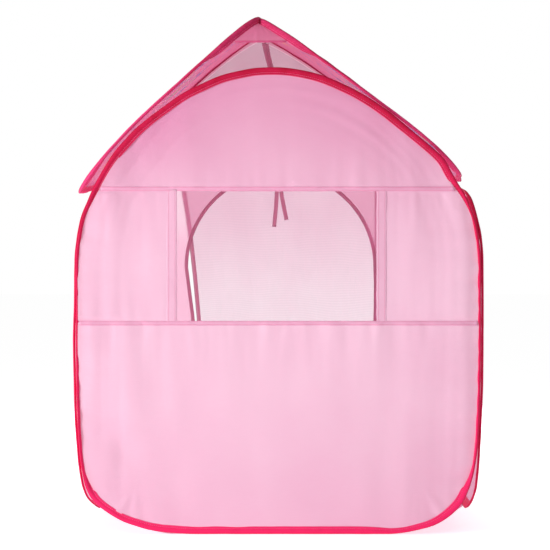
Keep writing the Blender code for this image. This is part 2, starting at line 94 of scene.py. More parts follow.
class Link:
    """One socket of a node tree. Sums on it add Math nodes; node() adds any other kind."""

    def __init__(self, tree, socket=None):
        self.tree = tree
        self.socket = socket

    def node(self, kind, inputs=(), **settings):
        made = self.tree.nodes.new(kind)
        for key, value in settings.items():
            if key == "stops":
                ramp = made.color_ramp.elements
                for i, (place, colour) in enumerate(value):
                    stop = ramp[i] if i < len(ramp) else ramp.new(place)
                    stop.position, stop.color = place, colour
            else:
                setattr(made, key, value)
        for key, value in dict(inputs).items():
            if isinstance(value, Link):
                self.tree.links.new(value.socket, made.inputs[key])
            else:
                made.inputs[key].default_value = value
        return Link(self.tree, made.outputs[0] if made.outputs else None)

    def output(self, key):
        return Link(self.tree, self.socket.node.outputs[key])

    def part(self, index):
        """One number of this vector."""
        return self.node("ShaderNodeSeparateXYZ", {0: self}).output(index)

    def place(self):
        """The shaded point, in its piece's own metres."""
        return self.node("ShaderNodeTexCoord").output("Object")

    def cloud(self, scale, detail=2.0):
        """Soft noise at this place."""
        return self.node("ShaderNodeTexNoise", {"Vector": self, "Scale": scale, "Detail": detail})

    def bump(self, strength, distance):
        """A normal pressed in by this height."""
        inputs = {"Strength": strength, "Distance": distance, "Height": self}
        return self.node("ShaderNodeBump", inputs)

    def blend(self, share, first, second):
        return self.node("ShaderNodeMixShader", {0: share, 1: first, 2: second})

    def glow(self, colour):
        return self.node("ShaderNodeBsdfTranslucent", {"Color": colour})

    def maths(self, operation, *values):
        return self.node("ShaderNodeMath", dict(enumerate(values)), operation=operation)

    def wave(self, length):
        """A sine of this distance that repeats after each length."""
        return self.maths("SINE", self * (2 * math.pi / length))

    def within(self, low, high):
        return self.maths("MAXIMUM", self.maths("MINIMUM", self, high), low)

    def mixed(self, first, second):
        """first where this value is 0, second where it is 1."""
        inputs = {0: self, 6: first, 7: second}
        return self.node("ShaderNodeMix", inputs, data_type="RGBA").output(2)

    def clipped(self, low, high):
        """How far this value has gone from low to high, eased, from 0 to 1."""
        inputs = {0: self, 1: low, 2: high, 3: 0.0, 4: 1.0}
        return self.node("ShaderNodeMapRange", inputs, interpolation_type="SMOOTHSTEP")

    def __abs__(self):
        return self.maths("ABSOLUTE", self)

    def __add__(self, other):
        return self.maths("ADD", self, other)

    __radd__ = __add__

    def __sub__(self, other):
        return self.maths("SUBTRACT", self, other)

    def __rsub__(self, other):
        return self.maths("SUBTRACT", other, self)

    def __mul__(self, other):
        return self.maths("MULTIPLY", self, other)

    __rmul__ = __mul__

    def __truediv__(self, other):
        return self.maths("DIVIDE", self, other)


def new_finish(name):
    """An empty material and the link that its nodes are added through."""
    made = bpy.data.materials.new(name)
    made.use_nodes = True
    made.node_tree.nodes.clear()
    return made, Link(made.node_tree)


def finished(made, start, shader):
    start.node("ShaderNodeOutputMaterial", {"Surface": shader})
    return made


def cloth_coordinates(start):
    """Metres along and across the cloth, from the piece's own map."""
    flat = start.node("ShaderNodeUVMap", uv_map="cloth")
    return flat.part(0), flat.part(1)


def woven_tape(name, colour, pale, dark, width, bright, show_through=0.0):
    """Narrow twill tape: diagonal ribs, painted shade at the fold edge, a pale painted highlight
    along the other edge.
    """
    made, start = new_finish(name)
    along, across = cloth_coordinates(start)
    place = start.place()
    cloud = place.cloud(38.0, 3.0)
    twill = (along * 0.8 + across).wave(0.0015)
    yarn = (along - across * 0.6).wave(0.0009)
    pucker = (along + across * 0.7 + cloud * 0.004).wave(0.0062)
    # Random mottling and the weave's pattern, with faint diagonal bands of painted pucker shade.
    mottle_and_pucker_shade = (cloud - 0.5) * 0.5 + twill * 0.05 + yarn * 0.03 + pucker * 0.04
    # bright gives a share by height; where a caller varies it, the dark colour mixed in is painted
    # shade.
    shaded = (mottle_and_pucker_shade + bright(place.part(2))).mixed(dark, colour)
    # Painted shade: the fold edge is darkened towards the dark colour.
    fold = 1 - abs(across).clipped(0, 0.0016)
    # Painted highlight: a pale line along the edge opposite the fold.
    selvedge_highlight = abs(across).clipped(width - 0.0023, width - 0.0006)
    edged = (fold * 0.5).mixed(shaded, dark)
    cloth = start.node(
        "ShaderNodeBsdfPrincipled",
        {
            "Base Color": (selvedge_highlight * 0.65).mixed(edged, pale),
            "Roughness": cloud * 0.2 + 0.5,
            "Normal": (twill * 0.6 + yarn * 0.4).bump(0.35, 0.0003),
            "Sheen Weight": 0.04,
            "Sheen Roughness": 0.4,
            "Specular IOR Level": 0.12,
        },
    )
    if show_through:
        cloth = start.blend(show_through, cloth, start.glow(colour))
    return finished(made, start, cloth)


def add_piece(name, points, faces, finish, uvs=None, smooth=True):
    """One mesh object at the origin; uvs holds a (metres, metres) pair for each point."""
    mesh = bpy.data.meshes.new(name)
    mesh.from_pydata([tuple(point) for point in points], [], faces)
    if uvs:
        layer = mesh.uv_layers.new(name="cloth")
        for loop in mesh.loops:
            layer.data[loop.index].uv = uvs[loop.vertex_index]
    if smooth:
        mesh.polygons.foreach_set("use_smooth", [True] * len(mesh.polygons))
    mesh.materials.append(finish)
    piece = bpy.data.objects.new(name, mesh)
    bpy.context.scene.collection.objects.link(piece)
    return piece


def grid_faces(lines, places, first=0, turned=False):
    """Faces of a grid of points, line after line; turned makes them face the other way."""
    faces = []
    for line in range(lines - 1):
        for place in range(places - 1):
            a = first + line * places + place
            face = (a, a + 1, a + places + 1, a + places)
            faces.append(face[:1] + face[:0:-1] if turned else face)
    return faces


def reshape(piece, change):
    """Changes a piece's mesh in place."""
    shape = bmesh.new()
    shape.from_mesh(piece.data)
    change(shape)
    shape.to_mesh(piece.data)
    shape.free()


def tube_piece(name, points, sides, closed, finish, uvs=None, smooth=True):
    """A piece made of rings of points, joined end to end or capped, with its faces outwards."""
    rings = len(points) // sides
    faces = []
    for ring in range(rings if closed else rings - 1):
        here, after = ring * sides, (ring + 1) % rings * sides
        for side in range(sides):
            other = (side + 1) % sides
            faces.append((here + side, here + other, after + other, after + side))
    if not closed:
        faces.append(tuple(reversed(range(sides))))
        faces.append(tuple(range(len(points) - sides, len(points))))
    piece = add_piece(name, points, faces, finish, uvs, smooth)
    reshape(piece, lambda shape: bmesh.ops.recalc_face_normals(shape, faces=shape.faces))
    return piece


def stands_for(piece, body, node):
    """Puts the piece on its body, in the place of one CAD node."""
    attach(piece, body)
    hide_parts(node)


def curved(points, parts):
    """A smooth line through all of the points but the first and last, which only lead it."""
    line = []
    for a, b, c, d in zip(points, points[1:], points[2:], points[3:]):
        second, third = a * 2 - b * 5 + c * 4 - d, b * 3 - a - c * 3 + d
        for part in range(parts):
            t = part / parts
            line.append((b * 2 + (c - a) * t + second * t**2 + third * t**3) / 2)
    return line


def heading(line, i):
    """The direction of an open line at one of its points."""
    return (line[min(i + 1, len(line) - 1)] - line[max(i - 1, 0)]).normalized()


def pale_tape(name, pale, dark, width):
    """Narrow whitish pink tape that light passes through."""
    return woven_tape(name, dye(236, 204, 216), pale, dark, width, lambda height: 0.85, 0.40)


# Painted highlight and shade: the paler colour lines one edge, the darker shades the fold and
# mottles at random.
ribbon_finish = pale_tape("ribbon_weave", dye(246, 222, 232), dye(214, 170, 188), ribbon_width)


def tie_ribbon(name, route, curl, ribbon_y):
    """A flat ribbon with a slight curl in its face, and both ends cut square."""
    route = [Vector((x, ribbon_y, z)) for x, z in route]
    ends = [route[0] * 2 - route[1], *route, route[-1] * 2 - route[-2]]
    line = curved(ends, 6) + route[-1:]
    section = ((-0.5, -0.5), (-0.2, -0.5), (0.2, -0.5), (0.5, -0.5))
    section += tuple((a, 0.5) for a, _ in reversed(section))
    points, uvs = [], []
    run = 0
    for i, here in enumerate(line):
        along = heading(line, i)
        across = Vector((-along.z, 0, along.x))
        run += (here - line[i - 1]).length if i else 0
        for a, b in section:
            bow = curl * (4 * a * a - 0.5) * math.sin(run * 21)
            offset = Vector((0, bow + b * ribbon_thickness, 0))
            points.append(here + across * a * ribbon_width + offset)
            uvs.append((run, (a + 0.5) * ribbon_width))
    piece = tube_piece(name + "_cloth", points, len(section), False, ribbon_finish, uvs)
    stands_for(piece, "front_wall", name)
    tuple(line[0])
    sum((b - a).length for a, b in zip(line, line[1:]))
    [tuple(point) for point in line]


tie_ribbon("tie_ribbon_left", left_ribbon_route, 0.0004, left_ribbon_y)
tie_ribbon("tie_ribbon_right", right_ribbon_route, -0.0004, right_ribbon_y)


# Hoop tapes. Each of the six hoops is a sleeve of hot pink twill tape, folded over the spring wire
# and sewn shut 11 mm from its fold. The end arches' tapes turn edge on along the upright sides,
# where they are sewn back to back with the side hoops.

tape_width = 0.016
wire_inset = 0.0055
tape_section = (
    (0.0000, 0.0000), (0.0005, 0.0014), (0.0022, 0.0027), (0.0052, 0.0034),
    (0.0080, 0.0027), (0.0098, 0.0016), (0.0110, 0.0010), (0.0126, 0.0013),
    (0.0146, 0.0011), (0.0158, 0.0006),
)
wire_radius = 0.0011
wire_sides = 8
stitch_depth = 0.0110
panel_tuck_depth = 0.0132
tape_spacing = 0.009
tape_middle = 0.0035
wall_tape_middle = 0.0027
wall_tape_fullness = 0.76
arch_tape_sink = 0.0036
side_tape_sink = 0.0010
tape_turn_shift = 0.0010
tape_seam_height = 0.0012
arch_tape_turn = 82
arch_turn_tops = (0.745, 0.765)
shoulder_tape_turn = 34
ridge_tape_turn = 84
eave_tape_turn = 40

# Painted shade: dark red higher up the hoops and at the fold edge; pale pink is a painted
# highlight.
tape_finish = woven_tape(
    "hot_pink_tape",
    dye(255, 44, 110),
    dye(248, 116, 162),
    dye(172, 0, 34),
    tape_width,
    bright=lambda height: 0.98 - height.clipped(0.30, 0.95) * 0.72,
)
# A copy painted lighter against the roof hoops' shade, with painted shade near the ridge.
lightened_roof_tape_finish = woven_tape(
    "roof_tape_painted_lighter",
    dye(255, 82, 148),
    dye(250, 146, 188),
    dye(176, 0, 52),
    tape_width,
    bright=lambda height: 1.0 - height.clipped(0.84, 0.98) * 0.62,
)

wall_half_width = 0.4107
arch_height = 0.948
back_inner_y = -0.3930
front_inner_y = 0.3815
arch_outline_shares = (
    (0.280, 0.000), (0.560, 0.000), (0.710, 0.014), (0.800, 0.031), (0.885, 0.058),
    (0.930, 0.082), (0.962, 0.118), (0.982, 0.168), (0.994, 0.250), (1.000, 0.370),
    (1.000, 0.500), (1.000, 0.590), (0.990, 0.631), (0.972, 0.674), (0.937, 0.717),
    (0.892, 0.759), (0.845, 0.803), (0.755, 0.845), (0.640, 0.888), (0.489, 0.9325),
    (0.378, 0.959), (0.241, 0.984), (0.107, 0.997),
)
arch_join_x = 0.013
arch_lean_start = 0.74
arch_lean_run = 0.10
back_arch_lean = 0.011
front_arch_lean = 0.014

side_near_y = -0.3927
side_far_y = 0.3812
side_middle_y = (side_near_y + side_far_y) / 2
side_half_depth = (side_far_y - side_near_y) / 2
side_wall_bottom = 0.036
left_wall_top = 0.698
right_wall_top = 0.714
side_corner_radius = 0.12
corner_steps = 12
side_left_profile = (
    (0.030, 0.3600), (0.048, 0.3745), (0.067, 0.3892), (0.090, 0.3975), (0.110, 0.4013),
    (0.152, 0.4066), (0.193, 0.4097), (0.233, 0.4127), (0.314, 0.4147), (0.396, 0.4160),
    (0.477, 0.4137), (0.558, 0.4127), (0.598, 0.4087), (0.639, 0.4020), (0.680, 0.3880),
    (0.698, 0.3790), (0.720, 0.3650),
)
side_right_profile = (
    (0.030, 0.3720), (0.044, 0.3925), (0.048, 0.3955), (0.067, 0.4021), (0.090, 0.4070),
    (0.110, 0.4086), (0.152, 0.4118), (0.233, 0.4158), (0.314, 0.4188), (0.558, 0.4188),
    (0.598, 0.4158), (0.639, 0.4077), (0.680, 0.3976), (0.692, 0.3915), (0.698, 0.3875),
    (0.704, 0.3793), (0.720, 0.3640),
)
side_right_sag = 0.009
side_foot_lift = 0.0055
tape_thickness = 0.0053
ridge_x = -0.0396
ridge_z = 1.0400
ridge_gap = 0.0006
left_eave_x = -0.3975
right_eave_x = 0.3860
roof_corner_radius = 0.11
roof_bow = 0.0205
ridge_left_corner = (0.0080, 0.0100, 0.0030)
ridge_right_corner = (0.0044, 0.0046, -0.0020)
ridge_seam_lap = 0.0023
left_eave_drop = Vector((-0.0090, 0, -0.0085))
right_eave_drop = Vector((-0.0090, 0, 0.0090))
eave_drop_reach = 0.15


def eased(share):
    share = min(max(share, 0.0), 1.0)
    return share * share * (3 - 2 * share)


def evenly_spaced(loop, spacing):
    """A closed line with points at even steps."""
    lengths = [(b - a).length for a, b in zip(loop, loop[1:] + loop[:1])]
    count = max(8, round(sum(lengths) / spacing))
    step = sum(lengths) / count
    spaced = []
    index, done = 0, 0.0
    for i in range(count):
        while done + lengths[index] < i * step - 1e-12:
            done += lengths[index]
            index += 1
        share = (i * step - done) / lengths[index]
        spaced.append(loop[index].lerp(loop[(index + 1) % len(loop)], share))
    return spaced


def arch_loop():
    """The end walls' outline, smooth, from the middle of the lower edge round to the right."""
    right = [Vector((w * wall_half_width, h * arch_height)) for w, h in arch_outline_shares]
    left = [Vector((-point.x, point.y)) for point in reversed(right)]
    points = [*right, Vector((0, arch_height)), *left]
    line = curved(points[-1:] + points + points[:2], 8)
    line = [Vector((p.x, max(p.y, 0.0))) for p in line]
    return evenly_spaced(line, tape_spacing)


def rounded_loop(half_across, low, high, radius):
    """The side and roof hoops' outline: a rectangle with round corners."""
    line = []
    right, top = half_across - radius, high - radius
    corners = ((right, low + radius), (right, top), (-right, top), (-right, low + radius))
    for corner, (centre_x, centre_y) in enumerate(corners):
        for step in range(corner_steps + 1):
            turn = math.radians(90 * corner - 90 + 90 / corner_steps * step)
            x, y = centre_x + radius * math.cos(turn), centre_y + radius * math.sin(turn)
            line.append(Vector((x, y)))
    return evenly_spaced(line, tape_spacing)


def arch_lean(up, lean):
    return -lean * eased((up - arch_lean_start) / arch_lean_run)


def between(value, low, low_run, high, high_run):
    """1 between two marks, easing to 0 at low and at high over a run inside each."""
    return eased((value - low) / low_run) * eased((high - value) / high_run)


def back_place(across, up, out):
    """The back arch leans at the top, its shoulders are drawn in, its right foot is squarer."""
    shoulder = eased((across - 0.15) / 0.15) * between(up, 0.685, 0.06, 0.895, 0.08)
    shoulder -= eased((-across - 0.15) / 0.12) * between(up, 0.71, 0.06, 0.93, 0.07)
    corner = eased((abs(across) - 0.17) / 0.08) * (1 - eased(up / 0.10))
    height = up * (1 - 0.30 * corner) if across > 0 else up + 0.0042 * corner
    swell = eased((across - 0.28) / 0.10) * between(up, 0.06, 0.12, 0.72, 0.10)
    x = across + arch_lean(up, back_arch_lean) - 0.0072 * shoulder + 0.0039 * swell
    return Vector((x, back_inner_y - out, height))


def front_place(across, up, out):
    return Vector((across + arch_lean(up, front_arch_lean), front_inner_y + out, up))


def through(table, value):
    """A smooth curve through the (value, result) pairs of a table."""
    ends = [table[0], *table, table[-1]]
    for a, b, c, d in zip(ends, ends[1:], ends[2:], ends[3:]):
        if b[0] <= value <= c[0]:
            span = c[0] - b[0]
            t = (value - b[0]) / span
            start = (c[1] - a[1]) / max(c[0] - a[0], 1e-9) * span
            end = (d[1] - b[1]) / max(d[0] - b[0], 1e-9) * span
            return (
                b[1] * (2 * t**3 - 3 * t**2 + 1)
                + start * (t**3 - 2 * t**2 + t)
                + c[1] * (3 * t**2 - 2 * t**3)
                + end * (t**3 - t**2)
            )
    return table[0][1] if value < table[0][0] else table[-1][1]


def side_outer_x(side, up):
    """How far out a side hoop's tape reaches at a height; both lean in at the top and the foot."""
    return through(side_left_profile if side < 0 else side_right_profile, up)


def side_height(side, up):
    """The right side hoop's top edge sags a little below its outline, and both feet draw up."""
    top = left_wall_top if side < 0 else right_wall_top
    sag = 0.0 if side < 0 else side_right_sag
    lifted = up + side_foot_lift * (1 - eased((up - side_wall_bottom) / 0.10))
    return lifted - sag * eased((up - top + 0.12) / 0.12)


def side_place(side):
    def place(across, up, out):
        height = side_height(side, up)
        x = side_outer_x(side, height) - tape_thickness + out
        return Vector((side * x, side_middle_y + across, height))

    return place


def roof_slope(side):
    """Eave, direction up the slope, direction outwards, and the slope's length."""
    eave_x, top = (left_eave_x, left_wall_top) if side < 0 else (right_eave_x, right_wall_top)
    eave = Vector((eave_x, 0, top + 0.0003))
    run = Vector((ridge_x + side * ridge_gap / 2, 0, ridge_z)) - eave
    along = run.normalized()
    return eave, along, Vector((side * along.z, 0, abs(along.x))), run.length


def nearness(across, reach, run):
    """1 at the side hoops' back edge, easing to 0 at the reach from it."""
    return eased((-across - side_half_depth + reach) / run)


def roof_place(side):
    """The roof bows up, and its back ridge corner and back eave follow the photograph."""
    eave, along, outward, length = roof_slope(side)
    if side < 0:
        flat, peak, corner_lap, forward = (0.0030, 0.35, 0.30, 0.25), *ridge_left_corner
        drop, reach = left_eave_drop, 0.62
    else:
        flat, peak, corner_lap, forward = (0.0036, 0.15, 0.40, 0.30), *ridge_right_corner
        drop, reach = right_eave_drop, 0.30
    depth, low, low_run, high_run = flat

    def place(across, up, out):
        near = nearness(across, 0.30, 0.18)
        left_over = length - up
        pulled = left_over * (1 - 0.9 * near * (1 - eased(left_over / 0.05)))
        share = up / length
        bow = roof_bow * (1 - abs(2 * share - 1) ** 3)
        bow -= depth * near * between(share, low, low_run, 1.02, high_run)
        point = eave + along * (length - pulled) + outward * (bow + out)
        point.z += peak * near * max(0.0, 1 - pulled / 0.11) ** 1.2
        lap = ridge_seam_lap * eased((side_half_depth - across - 0.05) / 0.10)
        lap += (corner_lap - ridge_seam_lap) * near
        point.x -= side * lap * (1 - eased(left_over / 0.045))
        ahead = forward * near * (1 - eased(left_over / 0.055))
        hanging = nearness(across, reach, 0.6 * reach)
        point += drop * hanging * (1 - eased(up / eave_drop_reach))
        return Vector((point.x, side_middle_y + across - ahead, point.z))

    return place


def lie_flat(across, up):
    return 0.0


def arch_turn(across, up):
    """How far the arch's tape is turned edge on: fully along the upright sides."""
    if abs(across) < 0.6 * wall_half_width:
        return 0.0
    return arch_tape_turn * between(up, 0.060, 0.085, arch_turn_tops[across > 0], 0.130)


sewing = {}


def hoop_tape(name, body, loop, place, turn, seed, fullness, middle, sink):
    """Sweeps the folded tape round a hoop. Returns the cloth's seam line and the wire's rings."""
    count = len(loop)
    section = tape_section + tuple((depth, -height) for depth, height in tape_section[:0:-1])
    points, uvs = [], []
    tuck, outer_seam, inner_seam, wire_line = [], [], [], []
    for i, here in enumerate(loop):
        tangent = (loop[(i + 1) % count] - loop[i - 1]).normalized()
        inward = Vector((-tangent.y, tangent.x))
        angle = math.radians(turn(here.x, here.y))
        wobble = 0.0005 * noise.noise(Vector((i * 0.23, seed, 0)))
        puff = fullness * (1 + 0.16 * noise.noise(Vector((i * 0.31, seed, 5))))
        sine, cosine = math.sin(angle), math.cos(angle)

        def at(depth, height):
            a = depth - wire_inset
            b = height * (puff if depth < stitch_depth else fullness)
            inner = wire_inset + a * cosine + b * sine - tape_turn_shift * sine + wobble
            out = middle - sink * sine - a * sine + b * cosine
            across, up = here + inward * inner
            return across, up, out

        for depth, height in section:
            points.append(place(*at(depth, height)))
            uvs.append((i * tape_spacing, depth))
        across, up, out = at(panel_tuck_depth, 0)
        tuck.append((across, up, max(out, 0.0018) if sink > 0.002 else out))
        outer_seam.append(place(*at(stitch_depth, tape_seam_height)))
        inner_seam.append(place(*at(stitch_depth, -tape_seam_height)))
        for step in range(wire_sides):
            angle_round = 2 * math.pi * step / wire_sides
            depth = wire_inset + wire_radius * math.cos(angle_round)
            wire_line.append(place(*at(depth, wire_radius * math.sin(angle_round) / puff)))
    finish = lightened_roof_tape_finish if name.endswith("roof") else tape_finish
    piece = tube_piece(name + "_tape", points, len(section), True, finish, uvs)
    stands_for(piece, body, name + "_sleeve")
    sewing.setdefault(body, []).extend([(outer_seam, True), (inner_seam, True)])
    join_across = arch_join_x if name.endswith("hoop") else 0.0
    join = min(range(count), key=lambda i: abs(loop[i].x - join_across) + loop[i].y)
    return tuck, wire_line, join


def shoulder_turn(top):
    """The right side hoop's tape shows a little of its face round the near shoulder."""

    def turn(across, up):
        near = nearness(across, 0.110, 0.050)
        return shoulder_tape_turn * near * eased((up - top + 0.125) / 0.030)

    return turn


def roof_turn(length):
    """The roof's tape shows its face round the back ridge corner and lies flat elsewhere."""

    def turn(across, up):
        near = nearness(across, 0.125, 0.085)
        at_ridge = ridge_tape_turn * eased((up - length + 0.155) / 0.085)
        at_eave = eave_tape_turn * (1 - eased((up - 0.03) / 0.09))
        return near * (at_ridge + at_eave)

    return turn


left_slope_length = roof_slope(-1)[3]
right_slope_length = roof_slope(1)[3]


def side_loop(low, high, radius):
    return rounded_loop(side_half_depth, low, high, radius)


left_wall_loop = side_loop(side_wall_bottom, left_wall_top, side_corner_radius)
right_wall_loop = side_loop(side_wall_bottom, right_wall_top, side_corner_radius)
left_roof_loop = side_loop(0, left_slope_length, roof_corner_radius)
right_roof_loop = side_loop(0, right_slope_length, roof_corner_radius)
hoop_bodies = {"back_hoop": "back_wall", "front_hoop": "front_wall"}
hoop_bodies |= {name: name for name in ("left_wall", "right_wall", "left_roof", "right_roof")}
hoops = {}
for name, loop, place, turn in (
    ("back_hoop", arch_loop(), back_place, arch_turn),
    ("front_hoop", arch_loop(), front_place, arch_turn),
    ("left_wall", left_wall_loop, side_place(-1), lie_flat),
    ("right_wall", right_wall_loop, side_place(1), shoulder_turn(right_wall_top)),
    ("left_roof", left_roof_loop, roof_place(-1), roof_turn(left_slope_length)),
    ("right_roof", right_roof_loop, roof_place(1), roof_turn(right_slope_length)),
):
    plump = (wall_tape_fullness, wall_tape_middle) if name.endswith("wall") else (1.0, tape_middle)
    sink = arch_tape_sink if name.endswith("hoop") else side_tape_sink
    seed = 10 * len(hoops) + 3
    body = hoop_bodies[name]
    hoops[name] = hoop_tape(name, body, loop, place, turn, seed, *plump, sink)


# Spring wire and ferrules. Drawn steel wire runs inside every sleeve and follows its tape. Its two
# ends meet near the middle of the hoop's lower edge, in a dull brass ferrule with three crimps.


def drawn_metal(name, bright, dull, roughness):
    made, start = new_finish(name)
    place = start.place()
    tarnish = place.cloud(60.0, 4.0)
    metal = start.node(
        "ShaderNodeBsdfPrincipled",
        {
            "Base Color": tarnish.clipped(0.35, 0.7).mixed(bright, dull),
            "Metallic": 1.0,
            "Roughness": tarnish * 0.3 + roughness,
            "Normal": place.cloud(900.0).bump(0.2, 0.0001),
        },
    )
    return finished(made, start, metal)


wire_finish = drawn_metal("drawn_spring_steel", dye(176, 178, 182), dye(120, 118, 116), 0.22)
ferrule_finish = drawn_metal("dull_brass", dye(201, 172, 104), dye(140, 112, 66), 0.30)
ferrule_radius = 0.0018
ferrule_bore = 0.0012
ferrule_half_rings = 2
crimp_depth = 0.0003
crimp_steps = 6


def crimped_ferrule(name, wire_line, join):
    """A tube round the wire's join, pressed in at three places."""
    rings = len(wire_line) // wire_sides
    steps = 2 * ferrule_half_rings * crimp_steps
    outer, inner = [], []
    for step in range(steps + 1):
        whole, part = divmod(step, crimp_steps)
        a = (join - ferrule_half_rings + whole) % rings * wire_sides
        b = (a + wire_sides) % len(wire_line)
        ring = [
            wire_line[a + side].lerp(wire_line[b + side], part / crimp_steps)
            for side in range(wire_sides)
        ]
        middle = sum(ring, Vector((0, 0, 0))) / wire_sides
        pressed = crimp_depth * max(0.0, -math.cos(6 * math.pi * step / steps)) ** 2
        for line, radius in ((outer, ferrule_radius - pressed), (inner, ferrule_bore)):
            line.append([middle + (point - middle).normalized() * radius for point in ring])
    points = [point for ring in outer + inner[::-1] for point in ring]
    return tube_piece(name, points, wire_sides, True, ferrule_finish)


for name, body in hoop_bodies.items():
    _, wire_line, join = hoops[name]
    spring = tube_piece(name + "_spring", wire_line, wire_sides, True, wire_finish)
    stands_for(spring, body, name + "_wire")
    crimp = crimped_ferrule(name + "_crimp", wire_line, join)
    stands_for(crimp, body, name + "_ferrule")


# Back wall cloth. Five pieces of pale pink taffeta: the arched top, a piece on each side of the
# window, and the wide lower piece. They are gathered slightly into the cross seams and the tape,
# which leaves fine pleats below each seam and soft creases at the edges.

cloth_middle = 0.0035
upper_seam_z = 0.6995
lower_seam_z = 0.4330
window_left = -0.204
window_right = 0.2010
window_hem_width = 0.021
window_hem_overlap = 0.004
# cloth_deep serves as painted shade where deepen varies, and as random mottling.
cloth_pink = dye(255, 219, 238)
cloth_deep = dye(228, 150, 190)


def taffeta(name, pale, deep, deepen, show_through, print_over=None, see_through=None):
    """Thin plain-weave cloth with a soft sheen, through which some light passes."""
    made, start = new_finish(name)
    along, across = cloth_coordinates(start)
    place = start.place()
    side, height = place.part(0), place.part(2)
    cloud = place.cloud(7.0, 4.0)
    yarns = start.node("ShaderNodeCombineXYZ", {0: along * 40, 1: across * 900})
    slub = start.node(
        "ShaderNodeTexNoise", {"Vector": yarns, "Scale": 1.0, "Detail": 2.0}, noise_dimensions="2D"
    )
    weave = along.wave(0.0010) * across.wave(0.0010)
    # deepen mixes in the deep colour by place; most callers vary it as painted shade. Cloud, slub
    # and weave add random tone.
    shade = deepen(side, height) + (cloud - 0.5) * 0.35 + (slub - 0.5) * 0.12 + weave * 0.03
    colour = shade.within(0.0, 1.0).mixed(pale, deep)
    if print_over:
        colour = print_over(start, along, across, colour)
    cloth = start.node(
        "ShaderNodeBsdfPrincipled",
        {
            "Base Color": colour,
            "Roughness": cloud * 0.15 + 0.42,
            "Normal": (weave * 0.5 + slub).bump(0.25, 0.0002),
            "Sheen Weight": 0.2,
            "Sheen Roughness": 0.35,
            "Specular IOR Level": 0.35,
        },
    )
    both = start.blend(show_through, cloth, start.glow(pale))
    if see_through:
        clear = start.node("ShaderNodeBsdfTransparent")
        both = start.blend(see_through(side, height), both, clear)
    return finished(made, start, both)


def by_height(low, high, gain, least):
    """A share that changes by the gain from one height to another."""
    return lambda side, height: height.clipped(low, high) * gain + least


# Painted shade: deeper towards the top and the foot, in the upper corners, towards the left and at
# the lower right.
back_cloth = taffeta(
    "back_taffeta",
    cloth_pink,
    cloth_deep,
    lambda side, height: height.clipped(0.50, 1.00) * 0.80 + height.clipped(0.34, 0.0) * 0.20
    + side.clipped(-0.05, -0.30) * height.clipped(0.68, 0.85) * 0.26
    + side.clipped(0.05, 0.30) * height.clipped(0.68, 0.85) * 0.16
    + side.clipped(0.12, 0.36) * height.clipped(0.50, 0.38) * 0.12
    + side.clipped(-0.02, -0.40) * 0.13 + 0.02,
    0.30,
)


def ripple(a, b, seed):
    return noise.noise(Vector((a, b, seed)))


def pleats(distance, reach, across, scale, seed):
    """Fine pleats that start at a seam and fade with the distance from it."""
    near = math.exp(-distance / reach)
    return near * (
        0.7 * ripple(across * scale, distance * 5, seed)
        + 0.3 * ripple(across * scale * 2.3, distance * 9, seed + 2)
    )


def hoop_edge(tuck, side):
    """The seam line on one side of a hoop, from bottom to top, as (up, across, out)."""
    return sorted((up, across, out) for across, up, out in tuck if across * side >= 0)


def edge_at(edge, up):
    """Where a hoop's seam line is at one height, as (across, out)."""
    if up <= edge[0][0]:
        return edge[0][1:]
    for low, high in zip(edge, edge[1:]):
        if low[0] <= up <= high[0] and high[0] > low[0]:
            share = (up - low[0]) / (high[0] - low[0])
            return tuple(low[i] + share * (high[i] - low[i]) for i in (1, 2))
    return edge[-1][1:]


def along_edge(edge):
    return lambda up: edge_at(edge, up)


def row_heights(edge, low, high, step):
    """Rows between two heights, closer together where the hoop's seam line runs flat."""
    marks = [low] + [up for up, _, _ in edge if low + 0.0002 < up < high - 0.0002] + [high]
    rows = [marks[0]]
    for mark in marks[1:]:
        gap = mark - rows[-1]
        if gap < 0.00015 and mark != high:
            continue
        parts = max(1, math.ceil(gap / step))
        start = rows[-1]
        rows += [start + gap * (part + 1) / parts for part in range(parts)]
    return rows


def cloth_patch(rows, left_edge, right_edge, columns, relief):
    """A grid of cloth points between two edges: each is (across, up, out)."""
    grid = []
    for up in rows:
        left_across, left_out = left_edge(up)
        right_across, right_out = right_edge(up)
        width = right_across - left_across
        line = []
        for column in range(columns + 1):
            share = column / columns
            across = left_across + width * share
            out = cloth_middle
            out += (left_out - cloth_middle) * (1 - eased((across - left_across) / 0.03))
            out += (right_out - cloth_middle) * (1 - eased((right_across - across) / 0.03))
            line.append((across, up, out + relief(across, up)))
        grid.append(line)
    return grid


def merge_corners(shape):
    bmesh.ops.remove_doubles(shape, verts=shape.verts, dist=0.00002)
    bmesh.ops.dissolve_degenerate(shape, edges=shape.edges, dist=0.00001)


def sewn_cloth(name, node, body, patches, place, finish, flat, area):
    """Joins patches into one stretched sheet that stands for one CAD panel."""
    points, uvs, faces = [], [], []
    for grid in patches:
        faces += grid_faces(len(grid), len(grid[0]), len(points))
        for across, up, out in (spot for line in grid for spot in line):
            points.append(place(across, up, out))
            uvs.append((across, up))
    piece = add_piece(name, points, faces, finish, uvs)
    reshape(piece, merge_corners)
    stands_for(piece, body, node)


back_tuck = hoops["back_hoop"][0]
back_left_edge = hoop_edge(back_tuck, -1)
back_right_edge = hoop_edge(back_tuck, 1)
back_top_z = max(up for _, up, _ in back_tuck)
back_foot_z = min(up for _, up, _ in back_tuck)


